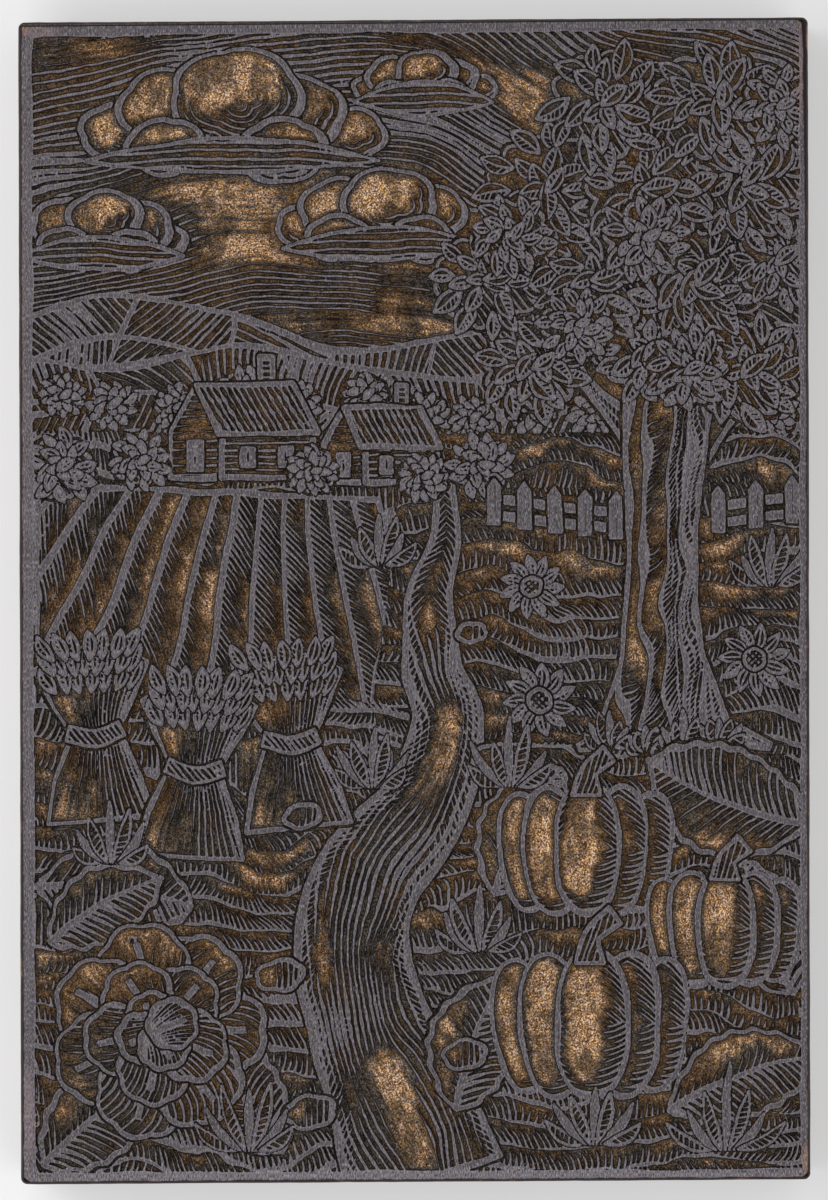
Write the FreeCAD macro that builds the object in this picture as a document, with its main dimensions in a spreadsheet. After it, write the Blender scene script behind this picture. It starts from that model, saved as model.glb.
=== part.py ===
"""A carved wooden printing block, brought to type height on a keyed mount.

The block lies on its back: Z is up, out of the printing face, Y runs to the head of the picture
and X to its right. The origin is the middle of the back, in the plane that the block rests on.
"""
import FreeCAD, Part
import math
import os
import Sketcher
from FreeCAD import Vector

document = FreeCAD.newDocument("printing_block")

# Driving dimensions, in millimetres.
driving_sizes = {
    # The block as a whole: 4 3/8 by 6 7/16 inches, and 0.918 inch high.
    "block_width": 111.1,
    "block_length": 163.5,
    "type_height": 23.32,
    "head_skew": 0.46,
    "face_thickness": 9.3,
    "corner_radius": 0.9,
    "face_arris": 0.35,
    "back_arris": 0.6,
    # The rim that frames the picture.
    "left_rim": 2.0,
    "right_rim": 1.3,
    "head_rim": 1.35,
    "foot_rim": 1.9,
    # The carving: how deep, the line left between two cuts, and the size of each motif.
    "line_depth": 1.0,
    "clearing_depth": 1.9,
    "cutter_overrun": 0.5,
    "contour_line": 1.1,
    "streak_width": 1.1,
    "cloud_width": 36.0,
    "cloud_height": 14.0,
    "clump_radius": 7.6,
    "clump_leaf": 2.3,
    "bark_stroke": 1.7,
    "hill_pitch": 2.9,
    "hill_stroke": 1.3,
    "cottage_width": 20.0,
    "furrow_stroke": 2.4,
    "stream_width": 15.0,
    "stream_stroke": 2.6,
    "grass_stroke": 2.0,
    "post_pitch": 5.6,
    "rail_pitch": 3.4,
    "sheaf_height": 24.0,
    "sheaf_width": 12.0,
    "pumpkin_width": 27.0,
    "pumpkin_height": 19.0,
    "leaf_length": 22.0,
    "leaf_width": 13.0,
    "daisy_radius": 5.2,
    "rosette_radius": 14.0,
    "tuft_height": 8.0,
    # Tapered dovetail keys across the back.
    "key_width": 18.0,
    "key_taper": 2.4,
    "key_depth": 6.0,
    "key_flare": 1.1,
    "key_inset": 32.0,
    "key_fit": 0.05,
    # One peg through the middle of each key, and the wood left over its hole.
    "peg_diameter": 5.0,
    "peg_cover": 3.1,
    "peg_fit": 0.05,
    "peg_hole_spare": 0.3,
    # Two blind dowels on a diagonal, which register the face on the mount.
    "dowel_diameter": 6.0,
    "dowel_length": 9.6,
    "dowel_in_face": 4.4,
    "dowel_fit": 0.05,
    "dowel_hole_spare": 0.3,
    "dowel_side_inset": 9.5,
    "dowel_end_inset": 7.5,
    # Blunt-ended slotted countersunk wood screws, and the wood left over their holes.
    "screw_cover": 4.1,
    "screw_head_diameter": 7.0,
    "screw_diameter": 3.5,
    "screw_slot_width": 0.9,
    "screw_slot_depth": 1.0,
    "screw_sink": 0.3,
    "screw_fit": 0.05,
    "screw_hole_spare": 0.3,
    "screw_side_inset": 21.0,
    "screw_end_inset": 14.0,
}

sheet = document.addObject("Spreadsheet::Sheet", "sizes")
for row, (name, value) in enumerate(driving_sizes.items(), start=1):
    sheet.set(f"A{row}", name)
    sheet.set(f"B{row}", str(value))
    sheet.setAlias(f"B{row}", name)
document.recompute()


def size(name):
    """A driving dimension as a plain number."""
    return float(sheet.get(name))


# Bodies, sketches and features.

level_match = size("cutter_overrun") / 1000


def new_body(name):
    return document.addObject("PartDesign::Body", name)


def new_sketch(body, role, name, offset=None):
    """A sketch on one of the body's own origin planes, moved along its normal if asked."""
    sketch = body.newObject("Sketcher::SketchObject", name)
    plane = next(item for item in body.Origin.OriginFeatures if item.Role == role)
    sketch.AttachmentSupport = [(plane, "")]
    sketch.MapMode = "FlatFace"
    if offset:
        sketch.setExpression("AttachmentOffset.Base.z", offset)
    return sketch


def draw_polygon(sketch, corners, rough):
    """A closed outline. Each corner is a pair of expressions, and rough is where it starts."""
    places = [Vector(*place, 0) for place in rough]
    ends = zip(places, places[1:] + places[:1])
    lines = [sketch.addGeometry(Part.LineSegment(here, there)) for here, there in ends]
    for line, following in zip(lines, lines[1:] + lines[:1]):
        sketch.addConstraint(Sketcher.Constraint("Coincident", line, 2, following, 1))
    for line, corner, place in zip(lines, corners, rough):
        for kind, expression, start in zip(("DistanceX", "DistanceY"), corner, place):
            number = sketch.addConstraint(Sketcher.Constraint(kind, -1, 1, line, 1, start))
            sketch.setExpression(f"Constraints[{number}]", expression)


def draw_circle(sketch, along, up, diameter, rough):
    """A circle whose centre and diameter are expressions."""
    circle = sketch.addGeometry(Part.Circle(Vector(*rough, 0), Vector(0, 0, 1), size("corner_radius")))
    constraints = (
        (Sketcher.Constraint("DistanceX", -1, 1, circle, 3, rough[0]), along),
        (Sketcher.Constraint("DistanceY", -1, 1, circle, 3, rough[1]), up),
        (Sketcher.Constraint("Diameter", circle, 2), diameter),
    )
    for constraint, expression in constraints:
        number = sketch.addConstraint(constraint)
        sketch.setExpression(f"Constraints[{number}]", expression)


def add_feature(body, kind, name, **links):
    feature = body.newObject(f"PartDesign::{kind}", name)
    for key, value in links.items():
        setattr(feature, key, value)
    return feature


def pad_outline(body, sketch, name, length):
    pad = add_feature(body, "Pad", name, Profile=sketch)
    pad.setExpression("Length", length)
    document.recompute()
    return pad


def edges_where(feature, test):
    """Names of the feature's edges that pass a test."""
    return [f"Edge{number}" for number, edge in enumerate(feature.Shape.Edges, start=1) if test(edge)]


def is_upright(edge):
    first, last = edge.Vertexes[0].Point, edge.Vertexes[-1].Point
    return abs(first.z - last.z) > abs(first.x - last.x) + abs(first.y - last.y)


def lies_level(edge, height):
    """Whether an edge lies in the level plane at a height."""
    box = edge.BoundBox
    return math.isclose(box.ZMin, height, abs_tol=level_match) and box.ZLength < level_match


def cut_pocket(body, sketch, name, depth, upward, slope=0):
    """A pocket that must take material away, cut up from its sketch or down from it."""
    before = body.Shape.Volume
    pocket = add_feature(body, "Pocket", name, Profile=sketch, Reversed=upward, TaperAngle=slope)
    pocket.setExpression("Length", depth)
    document.recompute()
    if not body.Shape.Volume < before:
        raise RuntimeError(f"{name} cuts nothing")
    return pocket


# Board outline: hand planed, so that the head and the foot run up to the right a little.
# Every rough place below is where a sketch starts, before its expressions set it.
half_width = "sizes.block_width / 2"
half_length = "sizes.block_length / 2"
half_skew = "sizes.head_skew / 2"
board_corners = [
    (f"-{half_width}", f"-{half_length} - {half_skew}"),
    (half_width, f"-{half_length} + {half_skew}"),
    (half_width, f"{half_length} + {half_skew}"),
    (f"-{half_width}", f"{half_length} - {half_skew}"),
]
turns_round = [(-1, -1), (1, -1), (1, 1), (-1, 1)]
board_rough = [(a * size("block_width") / 2, u * size("block_length") / 2) for a, u in turns_round]
mount_height = "(sizes.type_height - sizes.face_thickness)"


def make_blank(name, foot, thickness):
    """A planed board with rounded corners, whose lower side lies at the height foot."""
    body = new_body(name)
    sketch = new_sketch(body, "XY_Plane", f"{name}_outline", foot)
    draw_polygon(sketch, board_corners, board_rough)
    pad = pad_outline(body, sketch, f"{name}_pad", thickness)
    rounding = add_feature(body, "Fillet", f"{name}_corners", Base=(pad, edges_where(pad, is_upright)))
    rounding.setExpression("Radius", "sizes.corner_radius")
    document.recompute()
    return body, rounding


def ease_edges(body, feature, name, height, arris):
    """A small chamfer round the board's outline at a height."""
    level = edges_where(feature, lambda edge: lies_level(edge, height))
    chamfer = add_feature(body, "Chamfer", name, Base=(feature, level))
    chamfer.setExpression("Size", arris)
    document.recompute()
    return chamfer


# Keys: each tapers along X, from its wide end at the left, and flares into the mount.
key_signs = {"head_key": 1, "foot_key": -1}
flank_share = 0.9


def key_outline(sign, spare, fit):
    """Expressions for a key's (X, Y) corners on the back, run on past both sides by a spare.

    The edge towards the block's end is square to the side, and the other one is on the taper.
    """
    centre = f"{sign} * (sizes.block_length / 2 - sizes.key_inset)"
    corners = []
    for side in (-1, 1):
        along = f"{side} * ({half_width} + {spare})"
        lean = f"{along} * sizes.head_skew / sizes.block_width"
        narrowing = f"sizes.key_taper * ({along} / sizes.block_width + 0.5)"
        outer = (along, f"{centre} + {lean} + {sign} * (sizes.key_width / 2 + {fit})")
        inner = (along, f"{centre} + {lean} - {sign} * (sizes.key_width / 2 - {narrowing} + {fit})")
        corners += [outer, inner] if side < 0 else [inner, outer]
    middle = sign * (size("block_length") / 2 - size("key_inset"))
    outer, inner = middle + sign * size("key_width") / 2, middle - sign * size("key_width") / 2
    reach = size("block_width") / 2
    rough = [(-reach, outer), (-reach, inner), (reach, inner), (reach, outer)]
    return corners, rough


def is_flank(face):
    """Whether a face is an upright flank of a key or of its housing."""
    low = face.BoundBox.ZMax < size("key_depth") + size("key_fit") + level_match
    return low and abs(face.normalAt(0, 0).y) > flank_share


def flare_flanks(body, feature, name, inward):
    """Leans every flank out from the back, into a dovetail."""
    flanks = [f"Face{number}" for number, face in enumerate(feature.Shape.Faces, start=1) if is_flank(face)]
    plane = next(item for item in body.Origin.OriginFeatures if item.Role == "XY_Plane")
    draft = add_feature(body, "Draft", name, Base=(feature, flanks), NeutralPlane=(plane, [""]))
    draft.Reversed = inward
    draft.setExpression("Angle", "atan(sizes.key_flare / sizes.key_depth)")
    document.recompute()
    return draft


# Fastener places: a pair of expressions, and the same place as numbers.

def peg_place(sign):
    """Where a key's peg stands, halfway along the key."""
    up = size("block_length") / 2 - size("key_inset") + size("key_taper") / 4
    expression = f"{sign} * (sizes.block_length / 2 - sizes.key_inset + sizes.key_taper / 4)"
    return "0", expression, (0, sign * up)


def inset_place(signs, side_inset, end_inset):
    """A place in from a side and an end of the block, by two named insets."""
    expressions = (
        f"{signs[0]} * (sizes.block_width / 2 - sizes.{side_inset})",
        f"{signs[1]} * (sizes.block_length / 2 - sizes.{end_inset})",
    )
    across = signs[0] * (size("block_width") / 2 - size(side_inset))
    up = signs[1] * (size("block_length") / 2 - size(end_inset))
    return (*expressions, (across, up))


peg_places = [peg_place(sign) for sign in key_signs.values()]
dowel_places = [inset_place(signs, "dowel_side_inset", "dowel_end_inset") for signs in ((-1, 1), (1, -1))]
screw_places = [inset_place(signs, "screw_side_inset", "screw_end_inset") for signs in turns_round]


def make_key(name, sign):
    body = new_body(name)
    sketch = new_sketch(body, "XY_Plane", f"{name}_outline")
    draw_polygon(sketch, *key_outline(sign, "0", "0"))
    flare_flanks(body, pad_outline(body, sketch, f"{name}_pad", "sizes.key_depth"), f"{name}_flare", True)
    drill(body, f"{name}_bore", "0", [peg_place(sign)], "sizes.peg_diameter + 2 * sizes.peg_fit",
          "sizes.key_depth + sizes.key_fit", True)
    return body


def drill(body, name, offset, places, diameter, depth, upward):
    """Equal holes at several places, from one level."""
    sketch = new_sketch(body, "XY_Plane", f"{name}_centres", offset)
    for across, up, rough in places:
        draw_circle(sketch, across, up, diameter, rough)
    return cut_pocket(body, sketch, name, depth, upward)


countersink_slope = -45


def make_mount():
    """The base board, with key housings, screw holes, dowel holes and peg holes."""
    body, rounding = make_blank("base_board", "0", mount_height)
    ease_edges(body, rounding, "base_arris", 0, "sizes.back_arris")
    sketch = new_sketch(body, "XY_Plane", "housing_outlines")
    for sign in key_signs.values():
        draw_polygon(sketch, *key_outline(sign, "sizes.cutter_overrun", "sizes.key_fit"))
    housings = cut_pocket(body, sketch, "key_housings", "sizes.key_depth + sizes.key_fit", True)
    flare_flanks(body, housings, "housing_flares", False)
    drill(body, "peg_holes", "0", peg_places, "sizes.peg_diameter + 2 * sizes.peg_fit",
          f"{mount_height} - sizes.peg_cover", True)
    drill(body, "dowel_holes", mount_height, dowel_places, "sizes.dowel_diameter + 2 * sizes.dowel_fit",
          "sizes.dowel_length - sizes.dowel_in_face + sizes.dowel_hole_spare", False)
    drill(body, "screw_clearance", "0", screw_places, "sizes.screw_diameter + 2 * sizes.screw_fit",
          mount_height, True)
    sketch = new_sketch(body, "XY_Plane", "countersinks")
    for across, up, rough in screw_places:
        draw_circle(sketch, across, up, "sizes.screw_head_diameter + 2 * sizes.screw_sink", rough)
    depth = "(sizes.screw_head_diameter - sizes.screw_diameter) / 2 + sizes.screw_sink"
    cut_pocket(body, sketch, "countersink", depth, True, countersink_slope)
    return body


# The carving. Every table below holds shares of the picture's half width and half length,
# counted from its middle, and bows are shares of the stroke's own length.

streak_shares = [
    (-0.96, 0.960, -0.30, 0.957), (-0.90, 0.925, -0.72, 0.928), (-0.96, 0.760, -0.50, 0.735),
    (0.16, 0.820, 0.30, 0.800), (-0.12, 0.780, 0.20, 0.758), (-0.96, 0.560, -0.60, 0.575),
    (-0.57, 0.580, 0.04, 0.545),
]
cloud_shares = [(-0.48, 0.830, 1.0), (-0.08, 0.660, 0.70), (-0.82, 0.640, 0.57), (0.02, 0.900, 0.47)]
cloud_puff_shares = [(-0.43, -0.24, 0.04), (-0.19, 0.22, 0.10), (0.27, 0.45, 0.00)]
cloud_bow_shares = [0.10, 0.42]
clump_shares = [
    (0.50, 0.865, 20), (0.78, 0.865, -15), (0.34, 0.715, 35), (0.61, 0.715, 0), (0.86, 0.705, -25),
    (0.19, 0.560, 45), (0.47, 0.560, 10), (0.74, 0.555, -10), (0.31, 0.405, 30), (0.60, 0.425, 0),
    (0.86, 0.400, -20),
]
clump_leaves = 5
clump_stem_share = 0.30
bark_shares = [
    (0.592, 0.320, 0.585, -0.200, 1.2), (0.645, 0.320, 0.645, -0.225, 1.1),
    (0.700, 0.320, 0.705, -0.205, 1.0), (0.545, 0.285, 0.440, 0.320, 0.9),
    (0.755, 0.285, 0.840, 0.320, 0.9), (0.565, -0.225, 0.470, -0.255, 1.0),
    (0.735, -0.230, 0.860, -0.255, 1.0),
]
hill_shares = [(-0.97, 0.470, -0.34, 0.462, 0.06, 3), (-0.28, 0.460, 0.08, 0.440, 0.07, 2)]
grass_shares = [
    (0.15, 0.088, 0.53, 0.072), (0.40, 0.030, 0.54, 0.025), (0.15, -0.070, 0.54, -0.085),
    (0.42, -0.140, 0.53, -0.145), (0.76, -0.010, 0.97, -0.020), (0.76, -0.190, 0.96, -0.200),
    (0.77, 0.232, 0.97, 0.225), (0.22, 0.262, 0.51, 0.248), (0.20, 0.222, 0.51, 0.208),
    (-0.62, -0.480, -0.34, -0.492), (-0.50, -0.545, -0.38, -0.550), (0.07, -0.600, 0.20, -0.610),
    (0.74, -0.700, 0.97, -0.712), (0.76, -0.780, 0.97, -0.790),
]
cottage_shares = [(-0.64, 0.217, 1.0), (-0.24, 0.207, 0.8)]
cottage_wall_share = 0.34
cottage_gable_share = 0.36
cottage_length_share = 0.60
cottage_ridge_share = 0.66
cottage_roof_strokes = 5
roof_stroke_share = 0.6
furrow_count = 9
furrow_near_shares = ((-0.94, -0.03), (-0.20, -0.14))
furrow_far_shares = ((-0.88, 0.185), (-0.16, 0.170))
stream_shares = [
    (0.070, 0.165, 0.032, 0.010, 0.03, 0.35), (0.032, -0.015, 0.072, -0.205, -0.04, 0.50),
    (0.070, -0.235, -0.095, -0.455, 0.07, 0.75), (-0.115, -0.490, -0.140, -0.715, -0.10, 1.00),
    (-0.128, -0.750, 0.000, -0.955, -0.02, 1.15),
]
stream_lane_shares = (-0.34, 0, 0.34)
fence_shares = [(0.20, 0.143, 0.52, 0.118), (0.79, 0.128, 0.96, 0.141)]
fence_rails = 2
sheaf_shares = [(-0.84, -0.235, 4), (-0.58, -0.300, -4), (-0.33, -0.250, 5)]
sheaf_stalks = 5
sheaf_waist_share = 0.6
sheaf_spread_share = 1.2
pumpkin_shares = [(0.44, -0.440, 0.98), (0.79, -0.580, 0.80), (0.45, -0.745, 1.06)]
pumpkin_gores = 5
pumpkin_span_share = 0.86
pumpkin_close_share = 0.20
pumpkin_swell_share = 0.46
pumpkin_gore_share = 0.78
pumpkin_edge_share = 0.37
pumpkin_stalk_shares = [(-0.05, 0.52), (0.07, 0.52), (0.12, 0.70)]
pumpkin_stalk_bow_shares = [0, -0.1, 0.1]
rosette_share = (-0.68, -0.755)
rosette_ring_shares = [(0.66, 1.00, 7), (0.28, 0.58, 4)]
rosette_bow_shares = [0, 0.16, 0, 0]
rosette_leaf_share = 0.42
rosette_foot_share = 0.8
leaf_shares = [(0.96, -0.395, 158), (0.56, -0.900, 14), (-0.95, -0.505, -8)]
leaf_pairs = 4
leaf_tip_share = 0.6
leaf_shoulder_share = 0.14
leaf_round_share = 0.8
leaf_sweep_share = 0.20
leaf_stroke_share = 0.42
daisy_shares = [(0.32, -0.180, 20), (0.30, 0.020, 0), (0.88, -0.110, 15)]
daisy_petals = 7
daisy_heart_share = 0.34
daisy_petal_share = 0.5
tuft_shares = [(-0.10, 0.070), (0.24, -0.325), (0.90, 0.040), (0.44, -0.960)]
tuft_blades = 3
tuft_foot_share = 0.5
tuft_side_share = 0.5
tuft_blade_share = 0.14
tuft_spread = 110
straight_share = 0.005


class Carving:
    """The cuts in the printing face. Each is a closed chain of arcs, cut straight down."""

    def __init__(self):
        self.face = size("type_height")
        self.half_width = (size("block_width") - size("left_rim") - size("right_rim")) / 2
        self.half_length = (size("block_length") - size("head_rim") - size("foot_rim")) / 2
        aside = (size("left_rim") - size("right_rim")) / 2
        ahead = (size("foot_rim") - size("head_rim")) / 2
        self.middle = Vector(aside, ahead, 0)
        self.skew = size("head_skew") / size("block_width")
        self.cuts = []

    def spot(self, across, up):
        """A place in the picture. Its lines run up to the right as the block's head does."""
        point = self.middle + Vector(across * self.half_width, up * self.half_length, 0)
        return point + Vector(0, point.x * self.skew, 0)

    def cut(self, corners, bows, depth):
        """Takes out a hollow. Corners run counterclockwise, and each edge bows outwards."""
        floor = Vector(0, 0, self.face - depth)
        edges = []
        for index, bow in enumerate(bows):
            here = corners[index] + floor
            there = corners[(index + 1) % len(corners)] + floor
            span = there - here
            middle = (here + there) / 2 + Vector(span.y, -span.x, 0) * bow
            straight = abs(bow) < straight_share
            edge = Part.LineSegment(here, there) if straight else Part.Arc(here, middle, there)
            edges.append(edge.toShape())
        hollow = Part.Face(Part.Wire(edges))
        self.cuts.append(hollow.extrude(Vector(0, 0, depth + size("cutter_overrun"))))

    def clearing(self, corners, bows):
        """A cleared ground, down to the clearing depth."""
        self.cut(corners, bows, size("clearing_depth"))

    def gouge(self, start, end, bow, width, depth="line_depth"):
        """One stroke of the gouge, pointed at both ends, that bows to the left of its way."""
        half = width / (end - start).Length / 2
        self.cut([start, end], [half - bow, half + bow], size(depth))

    def kerf(self, start, end, width):
        """A straight cut of the knife, pointed at both ends and widest in the middle."""
        middle = (start + end) / 2
        aside = Vector(start.y - end.y, end.x - start.x, 0).normalize() * width / 2
        self.cut([start, middle - aside, end, middle + aside], [0] * 4, size("line_depth"))


def polar(centre, radius, degrees):
    """A point at a distance and an angle from a centre."""
    angle = math.radians(degrees)
    return centre + Vector(radius * math.cos(angle), radius * math.sin(angle), 0)


def local(origin, turn):
    """A function from lengths ahead and to the left to a place, turned about an origin."""
    ahead = Vector(math.cos(math.radians(turn)), math.sin(math.radians(turn)), 0)
    left = Vector(-ahead.y, ahead.x, 0)
    return lambda along, aside: origin + ahead * along + left * aside


def carve_sky(carving):
    """Long strokes of wind, and clouds of round-topped puffs."""
    for x_start, y_start, x_end, y_end in streak_shares:
        start, end = carving.spot(x_start, y_start), carving.spot(x_end, y_end)
        carving.kerf(start, end, size("streak_width"))
    for across, up, share in cloud_shares:
        width, height = size("cloud_width") * share, size("cloud_height") * share
        at = local(carving.spot(across, up), 0)
        for left, right, foot in cloud_puff_shares:
            corners = [at(left * width, foot * height), at(right * width, foot * height)]
            carving.clearing(corners, cloud_bow_shares)


def carve_clump(carving, centre, turn):
    """A leafy clump: hollow leaves that spread from its middle."""
    radius = size("clump_radius")
    for index in range(clump_leaves):
        angle = turn + 360 * index / clump_leaves
        start = polar(centre, radius * clump_stem_share, angle)
        carving.kerf(start, polar(centre, radius, angle), size("clump_leaf"))


def carve_tree(carving):
    for across, up, turn in clump_shares:
        carve_clump(carving, carving.spot(across, up), turn)
    for x_start, y_start, x_end, y_end, share in bark_shares:
        start, end = carving.spot(x_start, y_start), carving.spot(x_end, y_end)
        carving.kerf(start, end, size("bark_stroke") * share)


def carve_ground(carving):
    """Rows of strokes under each brow, the lower ones shorter, and rows of grass."""
    for x_start, y_start, x_end, y_end, bow, rows in hill_shares:
        for row in range(rows):
            step = row * size("hill_pitch")
            start = carving.spot(x_start, y_start) + Vector(0, -step, 0)
            end = carving.spot(x_end, y_end) + Vector(-step, -step, 0)
            carving.gouge(start, end, bow, size("hill_stroke"))
    for x_start, y_start, x_end, y_end in grass_shares:
        carving.kerf(carving.spot(x_start, y_start), carving.spot(x_end, y_end), size("grass_stroke"))


def carve_cottage(carving, origin, width):
    """A gable end and a side wall under a ridged roof."""
    at = local(origin, 0)
    wall, ridge = width * cottage_wall_share, width * cottage_ridge_share
    gable, length = width * cottage_gable_share, width * cottage_length_share
    line = size("contour_line")
    end_wall = [at(0, 0), at(gable, 0), at(gable, wall), at(gable / 2, ridge), at(0, wall)]
    carving.clearing(end_wall, [0] * len(end_wall))
    corner = gable + line
    side_wall = [at(corner, 0), at(corner + length, 0), at(corner + length, wall), at(corner, wall)]
    carving.clearing(side_wall, [0] * len(side_wall))
    pitch = length / cottage_roof_strokes
    for index in range(cottage_roof_strokes):
        along = corner + pitch * (index + 0.5)
        carving.kerf(at(along, wall + line), at(along - gable / 2, ridge), pitch * roof_stroke_share)


def carve_fence(carving, start, end):
    """The cleared gaps between posts and rails."""
    posts = max(2, round((end - start).Length / size("post_pitch")))
    step = (end - start) / posts
    half_post = Vector(step).normalize() * size("contour_line") / 2
    for index in range(posts):
        left = start + step * index + half_post
        right = start + step * (index + 1) - half_post
        for rail in range(fence_rails):
            low = Vector(0, rail * size("rail_pitch"), 0)
            high = low + Vector(0, size("rail_pitch") - size("contour_line"), 0)
            carving.clearing([left + low, right + low, right + high, left + high], [0] * 4)


def carve_fields(carving):
    """Ploughed furrows between the near and the far side of the field, fences and cottages."""
    near = [carving.spot(*place) for place in furrow_near_shares]
    far = [carving.spot(*place) for place in furrow_far_shares]
    for index in range(furrow_count):
        share = index / (furrow_count - 1)
        start = near[0] + (near[1] - near[0]) * share
        end = far[0] + (far[1] - far[0]) * share
        carving.kerf(start, end, size("furrow_stroke"))
    for x_start, y_start, x_end, y_end in fence_shares:
        carve_fence(carving, carving.spot(x_start, y_start), carving.spot(x_end, y_end))
    for across, up, share in cottage_shares:
        carve_cottage(carving, carving.spot(across, up), size("cottage_width") * share)


def carve_stream(carving):
    """Reaches of water, each cut in strokes that run side by side along its lanes."""
    for x_start, y_start, x_end, y_end, bow, share in stream_shares:
        start, end = carving.spot(x_start, y_start), carving.spot(x_end, y_end)
        for lane in stream_lane_shares:
            aside = Vector(lane * size("stream_width") * share, 0, 0)
            carving.gouge(start + aside, end + aside, bow, size("stream_stroke") * share)


def carve_sheaf(carving, origin, turn):
    """A bound sheaf: ears spread above the band and stalks below it."""
    at = local(origin, turn + 90)
    half = size("sheaf_height") / 2
    waist, spread = size("sheaf_width") * sheaf_waist_share, size("sheaf_width") * sheaf_spread_share
    gap = size("contour_line")
    for index in range(sheaf_stalks):
        side = index / (sheaf_stalks - 1) - 0.5
        width = waist / sheaf_stalks
        carving.kerf(at(gap, side * waist), at(half, side * spread), width)
        carving.kerf(at(-gap, side * waist), at(-half, side * spread), width)


def carve_pumpkin(carving, origin, share):
    """Ribs left standing between gores that run from the stalk to the foot."""
    width, height = size("pumpkin_width") * share, size("pumpkin_height") * share
    at = local(origin, 0)
    span = height * pumpkin_span_share
    for index in range(pumpkin_gores):
        side = (index + 0.5) / pumpkin_gores * 2 - 1
        close = side * width * pumpkin_close_share
        swell = (width * pumpkin_swell_share * math.sin(side * math.pi / 2) - close) / span
        broad = width / pumpkin_gores * pumpkin_gore_share * math.cos(side * math.pi * pumpkin_edge_share)
        carving.gouge(at(close, -span / 2), at(close, span / 2), -swell, broad, "clearing_depth")
    stalk = [at(across * width, up * height) for across, up in pumpkin_stalk_shares]
    carving.clearing(stalk, pumpkin_stalk_bow_shares)


def carve_leaf(carving, origin, turn):
    """Strokes between the side veins, on both sides of a midrib."""
    at = local(origin, turn)
    length, half_rib = size("leaf_length"), size("contour_line") / 2
    for index in range(leaf_pairs):
        share = (index + 0.5) / (leaf_pairs + leaf_tip_share)
        bulge = math.sin(math.pi * (share + leaf_shoulder_share)) ** leaf_round_share
        for side in (-1, 1):
            start = at(length * share, side * half_rib)
            end = at(length * (share + leaf_sweep_share), side * (half_rib + size("leaf_width") / 2 * bulge))
            carving.kerf(start, end, length / leaf_pairs * leaf_stroke_share)


def carve_daisy(carving, origin, turn):
    radius = size("daisy_radius")
    width = 2 * math.pi * radius * daisy_petal_share / daisy_petals
    for index in range(daisy_petals):
        angle = turn + 360 * index / daisy_petals
        start = polar(origin, radius * daisy_heart_share, angle)
        carving.kerf(start, polar(origin, radius, angle), width)


def carve_rosette(carving, origin):
    """A garden cabbage from above: two rings of broad leaves round a folded heart."""
    radius = size("rosette_radius")
    for ring, (inner, outer, leaves) in enumerate(rosette_ring_shares):
        half_turn = 360 / leaves * rosette_leaf_share
        for index in range(leaves):
            angle = 360 * (index + ring / 2) / leaves
            corners = [
                polar(origin, radius * inner, angle - half_turn * rosette_foot_share),
                polar(origin, radius * outer, angle - half_turn),
                polar(origin, radius * outer, angle + half_turn),
                polar(origin, radius * inner, angle + half_turn * rosette_foot_share),
            ]
            carving.clearing(corners, rosette_bow_shares)


def carve_tuft(carving, origin):
    height = size("tuft_height")
    for index in range(tuft_blades):
        side = index / (tuft_blades - 1) - 0.5
        start = origin + Vector(side * height * tuft_foot_share, 0, 0)
        tip = polar(origin, height * (1 - abs(side) * tuft_side_share), 90 - side * tuft_spread)
        carving.kerf(start, tip, height * tuft_blade_share)


def carve_garden(carving):
    """Sheaves, pumpkins, a cabbage, broad leaves, daisies and tufts of grass."""
    plans = [
        (sheaf_shares, carve_sheaf),
        (pumpkin_shares, carve_pumpkin),
        ([rosette_share], carve_rosette),
        (leaf_shares, carve_leaf),
        (daisy_shares, carve_daisy),
        (tuft_shares, carve_tuft),
    ]
    for places, carve in plans:
        for across, up, *rest in places:
            carve(carving, carving.spot(across, up), *rest)


def make_face_board():
    """The printing face: a planed plank, drilled from below and carved from above."""
    blank, rounding = make_blank("face_blank", mount_height, "sizes.face_thickness")
    ease_edges(blank, rounding, "face_edge", size("type_height"), "sizes.face_arris")
    drill(blank, "face_dowel_holes", mount_height, dowel_places,
          "sizes.dowel_diameter + 2 * sizes.dowel_fit", "sizes.dowel_in_face + sizes.dowel_hole_spare", True)
    drill(blank, "pilot_holes", mount_height, screw_places,
          "sizes.screw_diameter + 2 * sizes.screw_fit", "sizes.face_thickness - sizes.screw_cover", True)
    carving = Carving()
    for carve in (carve_sky, carve_tree, carve_ground, carve_fields, carve_stream, carve_garden):
        carve(carving)
    board = document.addObject("Part::Feature", "face_board")
    board.Shape = blank.Shape.cut(carving.cuts)
    return board


# Fasteners: one of each is modelled about its own axis, and a node holds all its copies.

screw_slot_turns = (12, 74, -38, 55)


def make_round_bar(name, diameter, length):
    """A dowel or peg, sawn square, that stands on the base plane."""
    body = new_body(name)
    sketch = new_sketch(body, "XY_Plane", f"{name}_end")
    draw_circle(sketch, "0", "0", diameter, (0, 0))
    pad_outline(body, sketch, f"{name}_pad", length)
    return body


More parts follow.
